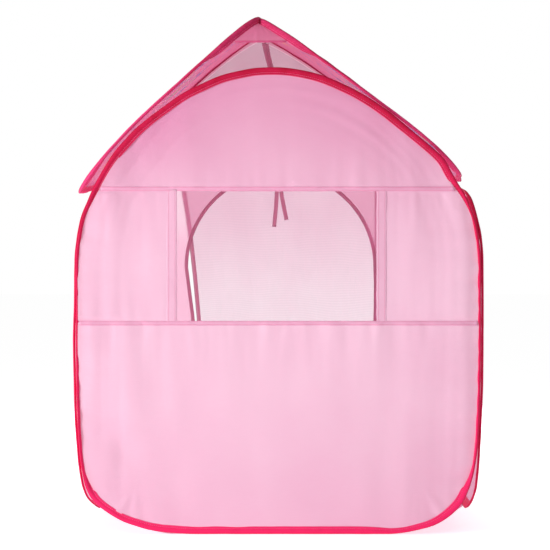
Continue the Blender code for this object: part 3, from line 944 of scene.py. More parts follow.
def back_relief(across, up):
    """Swell, pleats below the cross seams, side creases and fans at the lower corners."""
    swell = 0.0040 * ripple(across * 3.1, up * 3.6, 1)
    swell += 0.0046 * (0.25 + eased((abs(across) - 0.1) / 0.2)) * ripple(across * 15, up * 3.6, 7)
    dent = math.hypot(across + 0.303, (up - 0.162) * 0.8)
    swell -= 0.0034 * math.exp(-((dent / 0.030) ** 2))
    lift = 0.0022 * ripple(across * 9, up * 8, 3)
    folds = 0.0
    for seam, above, below, seed in (
        (upper_seam_z, 0.0042, 0.0050, 11), (lower_seam_z, 0.0034, 0.0056, 17)
    ):
        if up > seam:
            folds += above * pleats(up - seam, 0.035, across, 34, seed)
        else:
            folds += below * pleats(seam - up, 0.065, across, 31, seed + 5)
    side = wall_half_width - abs(across)
    folds += 0.0046 * math.exp(-side / 0.045) * ripple(up * 38, across * 7, 29)
    fan_x, fan_z = abs(across) - 0.285, 0.115 - up
    if fan_x > -0.05 and fan_z > -0.05:
        reach = math.hypot(fan_x, fan_z)
        fan = ripple(math.atan2(fan_z, fan_x) * 3.6, reach * 4, 37 + (across > 0))
        fan *= eased((reach - 0.015) / 0.08)
        folds += 0.0056 * fan * eased((fan_x + 0.05) / 0.08) * eased((fan_z + 0.05) / 0.08)
    crown = math.hypot(across, max(up - 0.55, 0.0))
    folds += 0.0016 * eased((crown - 0.26) / 0.1) * ripple(crown * 55, across * 3.5, 43)
    relief = swell + lift + folds
    foot = eased((-across - 0.31) / 0.04) * eased((0.22 - up) / 0.06)
    return relief + foot * (max(relief, 0.0) - relief)


def settled(relief, low, high, soft):
    """The same relief, eased to nothing at a piece's upper and lower edges."""
    return lambda across, up: relief(across, up) * (
        0.25 + 0.75 * eased(min(up - low, high - up) / soft)
    )


seam_gap = 0.0003
tape_gap = 0.0002
seam_ease = 0.01
top_relief = settled(back_relief, upper_seam_z, 2.0, seam_ease)
middle_relief = settled(back_relief, lower_seam_z, upper_seam_z, seam_ease)
bottom_relief = settled(back_relief, -1.0, lower_seam_z, seam_ease)
left_end, right_end = along_edge(back_left_edge), along_edge(back_right_edge)


def back_piece(name, low, high, row_step, ends, columns, relief, flat, area):
    """One of the back wall's pieces, between two heights and two ends."""
    rows = row_heights(back_right_edge, low, high, row_step)
    patch = cloth_patch(rows, *ends, columns, relief)
    names = ("back_" + name + "_cloth", "back_" + name + "_panel", "back_wall")
    sewn_cloth(*names, [patch], back_place, back_cloth, flat, area)


def window_end(hem_x, side):
    """Where the piece beside the window ends, a little way under its hem."""
    across = hem_x + side * (window_hem_width - window_hem_overlap)
    return lambda up: (across, cloth_middle + 0.0002)


top_span = (upper_seam_z + seam_gap, back_top_z - tape_gap)
middle_span = (lower_seam_z + seam_gap, upper_seam_z - seam_gap)
foot_span = (back_foot_z + tape_gap, lower_seam_z - seam_gap)
left_ends = (left_end, window_end(window_left, -1))
right_ends = (window_end(window_right, 1), right_end)
whole_ends = (left_end, right_end)
top_step, back_step = 0.0055, 0.0050
for name, span, row_step, ends, columns, relief, flat, area in (
    ("top", top_span, top_step, whole_ends, 130, top_relief, (0.790, 0.245), 0.120),
    ("left", middle_span, back_step, left_ends, 44, middle_relief, (0.190, 0.267), 0.048),
    ("right", middle_span, back_step, right_ends, 44, middle_relief, (0.190, 0.267), 0.048),
    ("bottom", foot_span, back_step, whole_ends, 150, bottom_relief, (0.800, 0.420), 0.330),
):
    back_piece(name, *span, row_step, ends, columns, relief, flat, area)


# Window hems and cross seams. The window's upright edges are turned over twice and sewn with two
# rows; the cross seams are felled flat, so that two raised folds of doubled cloth run right across.

# Painted shade: both doubled cloths deepen towards the top, the hems also towards the right.
hem_cloth = taffeta(
    "doubled_taffeta",
    dye(255, 214, 235),
    dye(248, 172, 208),
    lambda side, height: height.clipped(0.30, 1.00) * 0.3 + side.clipped(-0.1, 0.5) * 0.15 + 0.10,
    0.25,
)
seam_cloth = taffeta(
    "felled_seam_taffeta",
    dye(255, 200, 228),
    dye(252, 164, 204),
    by_height(0.30, 1.00, 0.3, 0.20),
    0.20,
)


def folded_band(name, body, route, place, width, rise, finish, seed, back=0.0012, ground=lie_flat):
    """A flat fold of doubled cloth along a route of (across, up) points, with puckered edges."""
    section = ((-0.5, 0.35), (-0.44, 0.9), (-0.3, 0.75), (0.0, 1.0), (0.3, 0.75), (0.44, 0.9))
    section += ((0.5, 0.35), (0.5, -0.2), (-0.5, -0.2))
    points, uvs = [], []
    rows = {-0.3: [], 0.3: []}
    run = 0
    for i, here in enumerate(route):
        along = heading(route, i)
        sideways = Vector((-along.y, along.x))
        run += (here - route[i - 1]).length if i else 0
        for a, b in section:
            pucker = 0.0004 * ripple(run * 130, a * 2, seed) + 0.0007 * ripple(run * 30, a, seed)
            spot = here + sideways * (a * width * (1 + 0.06 * ripple(run * 60, a, seed + 3)))
            height = cloth_middle + ground(spot.x, spot.y) + (rise if b > 0 else back) * b + pucker
            points.append(place(spot.x, spot.y, height))
            uvs.append((run, a * width))
            if a in rows:
                rows[a].append(place(spot.x, spot.y, height + math.copysign(0.0002, rise)))
    piece = tube_piece(name, points, len(section), False, finish, uvs)
    sewing.setdefault(body, []).extend((row, False) for row in rows.values())
    return piece


def straight_route(start, end, step):
    start, end = Vector(start), Vector(end)
    parts = max(2, round((end - start).length / step))
    return [start.lerp(end, i / parts) for i in range(parts + 1)]


band_step = 0.003
for name, side, hem_x in (("window_left", -1, window_left), ("window_right", 1, window_right)):
    middle = hem_x + side * window_hem_width / 2
    hem = folded_band(
        name + "_fold",
        "back_wall",
        straight_route((middle, lower_seam_z - 0.001), (middle, upper_seam_z + 0.001), band_step),
        back_place,
        window_hem_width,
        0.0007,
        hem_cloth,
        51 + side,
        0.0006,
        middle_relief,
    )
    stands_for(hem, "back_wall", name + "_hem")

seam_fold_width = 0.0095
seam_fold_inset = 0.0030
for name, seam_z, ground in (
    ("upper_seam_fold", upper_seam_z + 0.0020, top_relief),
    ("lower_seam_fold", lower_seam_z - 0.0040, bottom_relief),
):
    first = edge_at(back_left_edge, seam_z)[0] + seam_fold_inset
    last = edge_at(back_right_edge, seam_z)[0] - seam_fold_inset
    band = folded_band(
        name,
        "back_wall",
        straight_route((first, seam_z), (last, seam_z), band_step),
        back_place,
        seam_fold_width,
        0.0012,
        seam_cloth,
        61 + 9 * seam_z,
        0.0008,
        ground,
    )
    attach(band, "back_wall")


# Side walls. One piece of plain pink taffeta each, sewn into the side hoop's tape all round. Its
# pleats start at the hoop's upper and lower edges. The roof's cloth is made by the same function.

# Painted shade: the side walls deepen towards the top.
side_cloth = taffeta(
    "side_taffeta", cloth_pink, cloth_deep, by_height(0.20, 0.90, 0.35, 0.10), 0.30
)


side_row_step = 0.0075
side_columns = 110


def side_relief(seed):
    def relief(across, up):
        swell = 0.0035 * ripple(across * 3.3, up * 3.3, seed)
        edge = side_half_depth - abs(across)
        folds = 0.0013 * math.exp(-edge / 0.05) * ripple(up * 36, across * 7, seed + 4)
        for line in (side_wall_bottom, left_wall_top if seed < 80 else right_wall_top):
            folds += 0.0014 * pleats(abs(up - line), 0.06, across, 30, seed + 8)
        return swell + folds + 0.0010 * ripple(across * 11, up * 10, seed + 13)

    return relief


def hoop_cloth(name, place, finish, relief, flat, area):
    """The one piece of cloth that fills a side or roof hoop."""
    tuck = hoops[name][0]
    left, right = hoop_edge(tuck, -1), hoop_edge(tuck, 1)
    low = min(up for _, up, _ in tuck)
    high = max(up for _, up, _ in tuck)
    rows = row_heights(right, low + tape_gap, high - tape_gap, side_row_step)
    relief = settled(relief, low, high, 0.012)
    patch = cloth_patch(rows, along_edge(left), along_edge(right), side_columns, relief)
    sewn_cloth(name + "_cloth", name + "_panel", name, [patch], place, finish, flat, area)


hoop_cloth("left_wall", side_place(-1), side_cloth, side_relief(71), (0.745, 0.645), 0.470)
hoop_cloth("right_wall", side_place(1), side_cloth, side_relief(83), (0.745, 0.660), 0.481)


# Roof cloth. Printed taffeta, a deeper pink, with scattered flowers, stars, hearts and dots in
# violet, lilac, orange and mint. The print is on the outside and shows through from below.

roof_pink = dye(243, 128, 176)
roof_deep = dye(222, 84, 142)
print_cell = 0.200
print_end = 0.185
print_soft = 0.012
petal_colours = (
    (0.0, dye(108, 92, 182)),
    (0.3, dye(250, 140, 44)),
    (0.55, dye(206, 196, 232)),
    (0.78, dye(96, 182, 142)),
)


def scattered_print(start, along, across, ground):
    """Generic motifs, one in each cell of a grid, each turned and moved by its cell's chance."""
    column = start.maths("FLOOR", along / print_cell)
    row = start.maths("FLOOR", across / print_cell)
    cell = start.node("ShaderNodeCombineXYZ", {0: column, 1: row})
    chance = start.node("ShaderNodeTexWhiteNoise", {"Vector": cell}, noise_dimensions="2D")
    chances = start.node("ShaderNodeSeparateColor", {0: chance.output("Color")})
    pick, turn, move = (chances.output(i) for i in range(3))
    x = along / print_cell - column - 0.5 + (move - 0.5) * 0.22
    y = across / print_cell - row - 0.5 + (turn - 0.5) * 0.22
    angle = start.maths("ARCTAN2", y, x) + turn * 6.0
    radius = start.maths("SQRT", x * x + y * y)
    petals = start.maths("COSINE", angle * 5.0) * 0.075
    ray = abs(start.maths("SINE", angle * 2.5))
    heart_y = y * 1.1 + 0.04 - start.maths("SQRT", abs(x) + 0.001) * 0.42
    heart_radius = start.maths("SQRT", x * x + heart_y * heart_y)

    def inside(distance, soft=print_soft):
        return 1 - distance.clipped(-soft, soft)

    flower = inside(radius - (petals + 0.245))
    star = inside(radius - (0.30 - ray * 0.17))
    heart = inside(heart_radius - 0.235)
    rim = (1 - abs(radius - (petals + 0.225)).clipped(0.012, 0.026)) * flower
    is_flower = 1 - pick.clipped(0.449, 0.451)
    is_heart = pick.clipped(0.749, 0.751)
    petal_colour = start.node("ShaderNodeValToRGB", {0: turn}, stops=petal_colours)
    petal_colour.socket.node.color_ramp.interpolation = "CONSTANT"
    dots = start.node(
        "ShaderNodeTexVoronoi",
        {"Vector": start.node("ShaderNodeCombineXYZ", {0: along, 1: across}), "Scale": 26.0},
        voronoi_dimensions="2D",
    )
    dot = 1 - dots.output("Distance").clipped(0.20, 0.23)
    painted = ground
    for covered, colour in (
        (flower * is_flower, petal_colour),
        (rim * is_flower * 0.7, dye(84, 64, 142)),
        (inside(radius - 0.085, 0.01) * is_flower, dye(250, 212, 92)),
        (star * ((1 - is_flower) * (1 - is_heart)), dye(250, 200, 104)),
        (heart * is_heart, dye(214, 40, 108)),
        (dot * (radius - 0.34).clipped(0.0, 0.02) * 0.9, dye(134, 116, 200)),
    ):
        painted = covered.mixed(painted, colour)
    return along.clipped(print_end, print_end + 0.004).mixed(painted, ground)


# Painted shade: the roof cloth deepens towards the ridge.
roof_cloth = taffeta(
    "printed_taffeta",
    roof_pink,
    roof_deep,
    by_height(0.70, 1.05, 0.30, 0.30),
    0.20,
    scattered_print,
)


def roof_relief(seed, length):
    def relief(across, up):
        swell = 0.0035 * ripple(across * 3.0, up * 4.2, seed)
        edge = side_half_depth - abs(across)
        folds = 0.0012 * math.exp(-edge / 0.05) * ripple(up * 34, across * 7, seed + 3)
        for line in (0.0, length):
            folds += 0.0013 * pleats(abs(up - line), 0.05, across, 29, seed + 6)
        return swell + folds

    return relief


left_roof_relief = roof_relief(91, left_slope_length)
right_roof_relief = roof_relief(97, right_slope_length)
hoop_cloth("left_roof", roof_place(-1), roof_cloth, left_roof_relief, (0.745, 0.470), 0.344)
hoop_cloth("right_roof", roof_place(1), roof_cloth, right_roof_relief, (0.745, 0.510), 0.375)


# Back gusset. A small piece of the roof's cloth that closes the two rounded corners under the
# ridge. It is sewn to both roof tapes and hemmed straight across.

# Painted shade: the gusset deepens towards the ridge.
gusset_cloth = taffeta(
    "gusset_taffeta", dye(244, 152, 188), dye(226, 108, 154), by_height(0.99, 1.04, 0.5, 0.15), 0.30
)
gusset_hem_cloth = taffeta(
    "gusset_hem_taffeta", dye(226, 96, 142), dye(196, 62, 112), lambda side, height: 0.35, 0.10
)
gusset_hem_z = 0.9985
gusset_steps = 24
gusset_columns = 40


def corner_tuck(side, turn):
    """Where the roof's cloth meets its tape round the back ridge corner."""
    length = roof_slope(side)[3]
    centre_across = roof_corner_radius - side_half_depth
    centre_up = length - roof_corner_radius
    across = centre_across - roof_corner_radius * math.cos(turn)
    up = centre_up + roof_corner_radius * math.sin(turn)
    angle = math.radians(roof_turn(length)(across, up))
    reach = panel_tuck_depth - wire_inset
    inner = wire_inset + reach * math.cos(angle) - tape_turn_shift * math.sin(angle)
    out = tape_middle - (side_tape_sink + reach) * math.sin(angle)
    radius = roof_corner_radius - inner
    return roof_place(side)(
        centre_across - radius * math.cos(turn), centre_up + radius * math.sin(turn), out
    )


def hem_turn(side):
    """The turn round the corner at which the tape passes the gusset's hem."""
    low, high = 0.0, math.pi / 2
    for _ in range(30):
        middle = (low + high) / 2
        if corner_tuck(side, middle).z < gusset_hem_z:
            low = middle
        else:
            high = middle
    return high


def gusset_rows():
    """Lines of points from the left roof's corner to the right roof's, from the hem back."""
    rows = []
    for step in range(gusset_steps + 1):
        ends = []
        for side in (-1, 1):
            first = hem_turn(side)
            turn = first + (math.pi / 2 - first) * step / gusset_steps
            ends.append(corner_tuck(side, turn))
        line = []
        for column in range(gusset_columns + 1):
            share = column / gusset_columns
            point = ends[0].lerp(ends[1], share)
            ease = math.sin(math.pi * share)
            crease = 0.0009 * ripple(share * 7, step * 0.12, 5)
            crease += 0.0007 * math.exp(-(((point.x + 0.042) / 0.003) ** 2))
            lift = 0.0006 * ripple(share * 5, step * 0.2, 8) * ease
            line.append(point + Vector((0, -crease * ease, lift)))
        rows.append(line)
    return rows


def crumpled_gusset(piece):
    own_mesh(piece)


gusset_grid = gusset_rows()
gusset_points = [point for line in gusset_grid for point in line]
gusset = add_piece(
    "gusset_cloth",
    gusset_points,
    grid_faces(gusset_steps + 1, gusset_columns + 1),
    gusset_cloth,
    [(point.x, point.y) for point in gusset_points],
)
stands_for(gusset, "left_roof", "back_gusset")
crumpled_gusset(gusset)
hem_points, hem_uvs = [], []
gusset_hem_section = ((0.0, -0.0009), (0.0042, -0.0009), (0.0042, -0.0001), (0.0, -0.0001))
for column, (low, above) in enumerate(zip(gusset_grid[0], gusset_grid[1])):
    rise = (above - low).normalized()
    tucked = 0.0035 * (1 - eased(min(column, gusset_columns - column) / 5))
    for up, forward in gusset_hem_section:
        hem_points.append(low + Vector((rise.x * up, forward + tucked, up)))
        hem_uvs.append((column * 0.0013, up))
gusset_band = tube_piece(
    "gusset_hem_fold", hem_points, 4, False, gusset_hem_cloth, hem_uvs, smooth=False
)
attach(gusset_band, "left_roof")
crumpled_gusset(gusset_band)


# Front wall. One piece of plain pink taffeta with a round-topped doorway cut out of it. The raw
# edge of the doorway is bound with a narrow folded strip, pale enough for light to pass.

door_centre_x = 0.008
door_half_width = 0.210
door_sill_z = 0.045
door_spring_z = 0.525
door_left_side = (
    (0.045, 0.1740), (0.200, 0.1800), (0.320, 0.1880), (0.405, 0.1950), (0.470, 0.2030),
)
door_right_side = (
    (0.045, 0.1980), (0.200, 0.2040), (0.320, 0.2080), (0.405, 0.2100), (0.470, 0.2110),
)
door_binding_width = 0.008
door_binding_overlap = 0.0030
door_side_steps, door_arch_steps = 60, 30
# voile_pale is the bindings' painted highlight along one edge; voile_dark their painted fold shade
# and random mottling.
voile_pale, voile_dark = dye(244, 218, 228), dye(212, 168, 186)
binding_cloth = pale_tape("door_binding_tape", voile_pale, voile_dark, door_binding_width)
front_cloth = taffeta(
    "front_taffeta",
    cloth_pink,
    cloth_deep,
    by_height(0.85, 0.40, 0.06, 0.36),
    0.40,
    see_through=by_height(0.55, 0.66, 0.25, 0.08),
)


def door_edge(side):
    """The doorway's edge on one side, as (up, across), from the sill to the crown."""
    table = door_left_side if side < 0 else door_right_side
    table += ((door_spring_z, door_half_width),)
    line = []
    for step in range(door_side_steps):
        up = door_sill_z + (door_spring_z - door_sill_z) * step / door_side_steps
        line.append((up, door_centre_x + side * through(table, up)))
    for step in range(door_arch_steps + 1):
        turn = math.pi / 2 * step / door_arch_steps
        across = door_centre_x + side * door_half_width * math.cos(turn)
        line.append((door_spring_z + door_half_width * math.sin(turn), across))
    return line


def front_relief(across, up):
    swell = 0.0028 * ripple(across * 3.4, up * 3.2, 101)
    side = wall_half_width - abs(across)
    folds = 0.0012 * math.exp(-side / 0.05) * ripple(up * 37, across * 7, 104)
    return swell + folds + 0.0010 * ripple(across * 10, up * 9, 107)


front_tuck = hoops["front_hoop"][0]
front_left_edge = hoop_edge(front_tuck, -1)
front_right_edge = hoop_edge(front_tuck, 1)
front_foot_z = min(up for _, up, _ in front_tuck)
front_top_z = max(up for _, up, _ in front_tuck)
door_crown_z = door_spring_z + door_half_width
door_edges = {side: door_edge(side) for side in (-1, 1)}
steps_edge = sorted(front_right_edge + [(up, across, 0) for up, across in door_edges[1]])
sill_left = door_centre_x - door_left_side[0][1]
sill_right = door_centre_x + door_right_side[0][1]


def still(across):
    return lambda up: (across, cloth_middle)


def door_cut(side):
    return along_edge([(up, across, cloth_middle) for up, across in door_edges[side]])


front_step = 0.008
front_columns, sill_columns = 46, 40
low_rows = row_heights(steps_edge, front_foot_z + tape_gap, door_sill_z, front_step)
door_rows = row_heights(steps_edge, door_sill_z, door_crown_z, front_step)
high_rows = row_heights(steps_edge, door_crown_z, front_top_z - tape_gap, front_step)
front_left, front_right = along_edge(front_left_edge), along_edge(front_right_edge)
centre = still(door_centre_x)
front_patches = [
    cloth_patch(rows, first, last, columns, front_relief)
    for rows, first, last, columns in (
        (low_rows, front_left, still(sill_left), front_columns),
        (low_rows, still(sill_right), front_right, front_columns),
        (door_rows, front_left, door_cut(-1), front_columns),
        (door_rows, door_cut(1), front_right, front_columns),
        (high_rows, front_left, centre, front_columns),
        (high_rows, centre, front_right, front_columns),
        (low_rows, still(sill_left), still(sill_right), sill_columns),
    )
]
front_names = ("front_cloth", "front_panel", "front_wall")
sewn_cloth(*front_names, front_patches, front_place, front_cloth, (0.800, 0.925), 0.400)
door_route = [Vector((across, up)) for up, across in door_edges[1]]
door_route += [Vector((across, up)) for up, across in reversed(door_edges[-1][:-1])]
middle_route = []
for i, here in enumerate(door_route):
    along = heading(door_route, i)
    middle_route.append(here - Vector((-along.y, along.x)) * door_binding_overlap)
door_binding = folded_band(
    "door_edge_binding",
    "front_wall",
    middle_route,
    front_place,
    door_binding_width,
    0.0012,
    binding_cloth,
    111,
)
stands_for(door_binding, "front_wall", "door_arch_binding")


# Front gable net. Fine pink voile closes the triangle between the front arch and the roof. It is
# sewn behind the arch's tape and turned in under the roof.


def voile(name, thread, fold_shade, coverage, deepen, pitch, border=None):
    """Open plain-weave net: threads with gaps between them that the background shows through."""
    made, start = new_finish(name)
    along, across = cloth_coordinates(start)
    place = start.place()
    height = place.part(2)
    cloud, drift = place.cloud(16.0, 4.0), place.cloud(5.0, 1.0)
    weft = (across + drift * 0.055).wave(pitch)
    warp = (along + drift * 0.004).wave(0.0016)
    solid = weft * 0.024 + warp * 0.02 + (cloud - 0.5) * 0.16 + coverage(height)
    solid = solid.within(0.03, 0.97)
    # Where deepen varies with height, the mix towards fold_shade is painted shade; cloud adds
    # random tone.
    colour = ((cloud - 0.5) * 0.5 + deepen(height) + weft * 0.05).mixed(thread, fold_shade)
    if border:
        from_edge = start.node("ShaderNodeAttribute", attribute_name="from_edge").output("Fac")
        doubled = 1 - from_edge.clipped(border - 0.001, border)
        colour = doubled.mixed(colour, dye(222, 104, 148))
        # Painted highlight: a near-white line along the border's inner edge.
        sewn = 1 - abs(from_edge - border).clipped(0.0009, 0.0020)
        colour = (sewn * 0.9).mixed(colour, dye(255, 232, 240))
        solid = start.maths("MAXIMUM", solid, doubled * 0.97)
    cloth = start.node(
        "ShaderNodeBsdfPrincipled",
        {"Base Color": colour, "Roughness": cloud * 0.2 + 0.55, "Specular IOR Level": 0.25},
    )
    lit = start.blend(0.5, cloth, start.glow(thread))
    clear = start.node("ShaderNodeBsdfTransparent")
    return finished(made, start, start.blend(solid, clear, lit))


gable_border = 0.0065
gable_voile = voile(
    "gable_voile",
    dye(192, 144, 165),
    dye(178, 126, 150),
    lambda height: 0.86,
    lambda height: 0.45,
    0.0030,
    gable_border,
)
gable_net_left = -0.236
gable_net_right = 0.240
gable_net_y = front_inner_y - 0.0008
gable_net_top_gap = 0.0012
gable_turned_in = 0.0165
roof_line_steps = 60


def height_on(line, across):
    """Height of a line of (x, z) points, ordered by x, at one place."""
    for (first_x, first_z), (second_x, second_z) in zip(line, line[1:]):
        if first_x <= across <= second_x:
            return first_z + (across - first_x) / (second_x - first_x) * (second_z - first_z)
    return line[0][1] if across < line[0][0] else line[-1][1]


arch_top_line = sorted(
    (front_place(across, up, 0).x, up) for across, up, _ in front_tuck if up > 0.56
)
roof_line, roof_cut = [], []
for side in (-1, 1):
    length = roof_slope(side)[3]
    for step in range(roof_line_steps + 1):
        up = length * step / roof_line_steps
        point = roof_place(side)(0, up, 0.0)
        past = max(roof_corner_radius - up, up - length + roof_corner_radius, 0.0)
        cut = roof_corner_radius - math.sqrt(roof_corner_radius**2 - past**2)
        roof_line.append((point.x, point.z))
        roof_cut.append((point.x, cut))
roof_line.sort()
roof_cut.sort()
net_columns, net_rows, net_turn_rows = 120, 24, 8
net_points, net_uvs, net_edge = [], [], []
for station in range(net_columns + 1):
    across = gable_net_left + (gable_net_right - gable_net_left) * station / net_columns
    low = height_on(arch_top_line, across) - 0.004
    high = max(height_on(roof_line, across) + gable_net_top_gap, low + 0.001)
    for step in range(net_rows + 1):
        up = low + (high - low) * step / net_rows
        free = math.sin(math.pi * step / net_rows) * eased((high - low) / 0.03)
        fold = 0.0016 * ripple(across * 18, up * 14, 121)
        fold += 0.0006 * ripple(across * 60, up * 20, 124)
        net_points.append((across, gable_net_y + free * min(fold, 0.0), up))
        net_uvs.append((across, up))
        net_edge.append(high - up)
    turned = gable_turned_in + height_on(roof_cut, across)
    for step in range(1, net_turn_rows + 1):
        part = step / net_turn_rows
        net_points.append((across, gable_net_y - turned * part, high + 0.0004 * part))
        net_uvs.append((across, high + turned * part))
        net_edge.append(0.0)
net_line = net_rows + net_turn_rows + 1
net_faces = grid_faces(net_columns + 1, net_line, turned=True)
gable_net = add_piece("gable_net", net_points, net_faces, gable_voile, net_uvs)
from_edge = gable_net.data.attributes.new("from_edge", "FLOAT", "POINT")
from_edge.data.foreach_set("value", net_edge)
stands_for(gable_net, "front_wall", "front_gable_net")
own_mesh(gable_net)


# Door curtain. A panel of white-pink voile hangs outside the doorway from a sewn header. Both
# sides and the hem are bound with narrow tape; it swings out and up about the header.

curtain_top_z = 0.765
curtain_bottom_z = 0.030
curtain_binding_width = 0.009
curtain_hinge_y = 0.3910
curtain_fold_depth = 0.0090
header_height = 0.014
curtain_left_line = (
    (0.030, -0.1560), (0.200, -0.1620), (0.405, -0.1745), (0.500, -0.1830),
    (0.597, -0.1935), (0.650, -0.2010), (0.699, -0.2090), (0.765, -0.2130),
)
curtain_right_line = ((0.030, 0.2160), (0.405, 0.2200), (0.600, 0.2225), (0.765, 0.2230))
# Painted shade: the curtain's threads deepen towards the top.
door_voile = voile(
    "door_voile",
    dye(226, 186, 208),
    dye(208, 156, 178),
    lambda height: height.clipped(0.38, 0.70) * 0.32 + 0.46,
    lambda height: height.clipped(0.42, 0.72) * 0.80 + 0.05,
    0.0054,
)
curtain_tape = pale_tape("curtain_tape", voile_pale, voile_dark, curtain_binding_width)


def curtain_at(share, up, out=0.0):
    """A point of the hanging curtain; its folds are uneven and deepen towards the hem."""
    left = height_on(curtain_left_line, up)
    right = height_on(curtain_right_line, up)
    fall = (curtain_top_z - up) / (curtain_top_z - curtain_bottom_z)
    deepening = min(1.0, 1 - (1 - fall) ** 2)
    phase = 5 * share + 0.25 * ripple(share * 2.2, up * 1.6, 131)
    wave = (1 - math.cos(2 * math.pi * phase)) / 2
    wave = wave * (0.8 + 0.2 * ripple(share * 4, up * 2, 134))
    fine = 0.0006 * ripple(share * 40, up * 3, 137) * deepening
    forward = curtain_hinge_y - 0.0007 + curtain_fold_depth * deepening * max(wave, 0.0) + fine
    return Vector((left + (right - left) * share, min(forward + out, 0.4000), up))


curtain_columns, curtain_rows = 160, 90
curtain_flat_width = 0.385
curtain_top = curtain_top_z - 0.0004
curtain_edge_top = curtain_top_z - 0.0045
binding_share = 0.75 * curtain_binding_width / curtain_flat_width
curtain_points = []
for row in range(curtain_rows + 1):
    low = curtain_bottom_z + curtain_binding_width
    up = low + (curtain_top - low) * row / curtain_rows
    for column in range(curtain_columns + 1):
        curtain_points.append(curtain_at(column / curtain_columns, up))
curtain_net = add_piece(
    "curtain_net",
    curtain_points,
    grid_faces(curtain_rows + 1, curtain_columns + 1),
    door_voile,
    [(point.x, point.z) for point in curtain_points],
)
stands_for(curtain_net, "door_curtain", "door_curtain")


def curtain_band(name, along_uv, stations, section, spot):
    """A narrow tape folded over one of the curtain's edges."""
    points, uvs = [], []
    for station in range(stations + 1):
        for a, b in section:
            share, up = spot(station, a)
            points.append(curtain_at(share, up, b))
            uvs.append((along_uv(share, up), a * curtain_binding_width))
    piece = tube_piece(name + "_edge", points, len(section), False, curtain_tape, uvs)
    stands_for(piece, "door_curtain", name + "_binding")


edge_section = (
    (0.0, -0.0005), (0.04, 0.0005), (0.5, 0.0009), (0.96, 0.0005), (1.0, -0.0005), (0.5, -0.0009),
)
for name, first, last in (
    ("curtain_left", -binding_share, 0.006), ("curtain_right", 0.994, 1 + binding_share)
):

    def side_spot(row, a):
        height = (curtain_edge_top - curtain_bottom_z) * row / curtain_rows
        return first + (last - first) * a, curtain_bottom_z + height

    curtain_band(name, lambda share, up: up, curtain_rows, edge_section, side_spot)
    middle_share = first + (last - first) * 0.6
    sewn_height = curtain_edge_top - stitch_depth - curtain_bottom_z
    steps = [curtain_bottom_z + sewn_height * row / curtain_rows for row in range(curtain_rows + 1)]
    for out in (0.0011, -0.0011):
        row = [curtain_at(middle_share, up, out) for up in steps]
        sewing.setdefault("door_curtain", []).append((row, False))
hem_section = (
    (0.0, -0.0005), (0.0, 0.0005), (0.5, 0.0009), (1.0, 0.0005), (1.0, -0.0005), (0.5, -0.0009),
)


def hem_spot(column, a):
    return column / curtain_columns, curtain_bottom_z + a * curtain_binding_width


curtain_band(
    "curtain_hem",
    lambda share, up: share * curtain_flat_width,
    curtain_columns,
    hem_section,
    hem_spot,
)
hem_row = [curtain_at(*hem_spot(column, 0.6), 0.0011) for column in range(curtain_columns + 1)]
sewing["door_curtain"].append((hem_row, False))
header_z = curtain_top_z + header_height / 2
header_route = straight_route((-0.2220, header_z), (0.2320, header_z), 0.004)


def header_place(across, up, out):
    return Vector((across, curtain_hinge_y - 0.0028 + out, up))


header = folded_band(
    "curtain_header_band",
    "front_wall",
    header_route,
    header_place,
    header_height,
    -0.0007,
    curtain_tape,
    141,
    -0.0006,
)
stands_for(header, "front_wall", "curtain_header")


# Groundsheet. A plain pink sheet lies flat on the floor and is drawn up at both sides to the lower
# edges of the side hoops, where it is sewn in.

ground_cloth = taffeta(
    "groundsheet_cloth",
    dye(246, 176, 208),
    dye(220, 120, 165),
    lambda side, height: height * 2.0 + 0.25,
    0.15,
)
ground_section = (
    (0.00, 0.00, 0.00), (0.30, 0.00, 0.00), (0.61, 0.00, 0.00), (0.70, 0.15, 0.01),
    (0.78, 0.40, 0.05), (0.88, 0.74, 0.25), (0.95, 0.95, 0.55), (1.00, 1.10, 1.00),
)
ground_foot_z = side_height(-1, side_wall_bottom)
ground_left_x = tape_thickness - side_outer_x(-1, ground_foot_z)
ground_right_x = side_outer_x(1, ground_foot_z) - tape_thickness
ground_points, ground_uvs = [], []
ground_columns, ground_rows = 120, 90
for i in range(ground_columns + 1):
    spot = 2 * i / ground_columns - 1
    share = abs(spot)
    for first, second in zip(ground_section, ground_section[1:]):
        if first[0] <= share <= second[0]:
            part = (share - first[0]) / (second[0] - first[0])
            rise = first[1] + part * (second[1] - first[1])
            cut = first[2] + part * (second[2] - first[2])
    half = side_half_depth - cut * side_corner_radius
    for j in range(ground_rows + 1):
        place = 2 * j / ground_rows - 1
        wrinkle = 0.0014 * abs(ripple(spot * 6, place * 6, 151))
        wrinkle += 0.0012 * abs(ripple(spot * 17, place * 14, 153))
        wrinkle *= 1 - abs(place) ** 8
        x = spot * (ground_right_x if spot > 0 else -ground_left_x)
        y = side_middle_y + place * half
        ground_points.append((x, y, rise * ground_foot_z + 0.0004 + wrinkle))
        ground_uvs.append((x, y))
ground_faces = grid_faces(ground_columns + 1, ground_rows + 1, turned=True)
groundsheet = add_piece("groundsheet", ground_points, ground_faces, ground_cloth, ground_uvs)
stands_for(groundsheet, "back_wall", "floor_sheet")
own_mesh(groundsheet)


# Sewing thread. Rows of short lock stitches hold every tape, hem, seam and binding, in pink thread
# a little paler than the tape. Each row follows its own seam at an even stitch length.

stitch_sizes = {"Pitch": 0.0042, "Length": 0.0032, "Thickness": 0.0008}


def twisted_thread(name, colour, dark):
    made, start = new_finish(name)
    strands = start.place().cloud(900.0)
    thread = start.node(
        "ShaderNodeBsdfPrincipled",
        {
            "Base Color": strands.clipped(0.35, 0.65).mixed(dark, colour),
            "Roughness": strands * 0.2 + 0.4,
            "Sheen Weight": 0.1,
        },
    )
    return finished(made, start, thread)


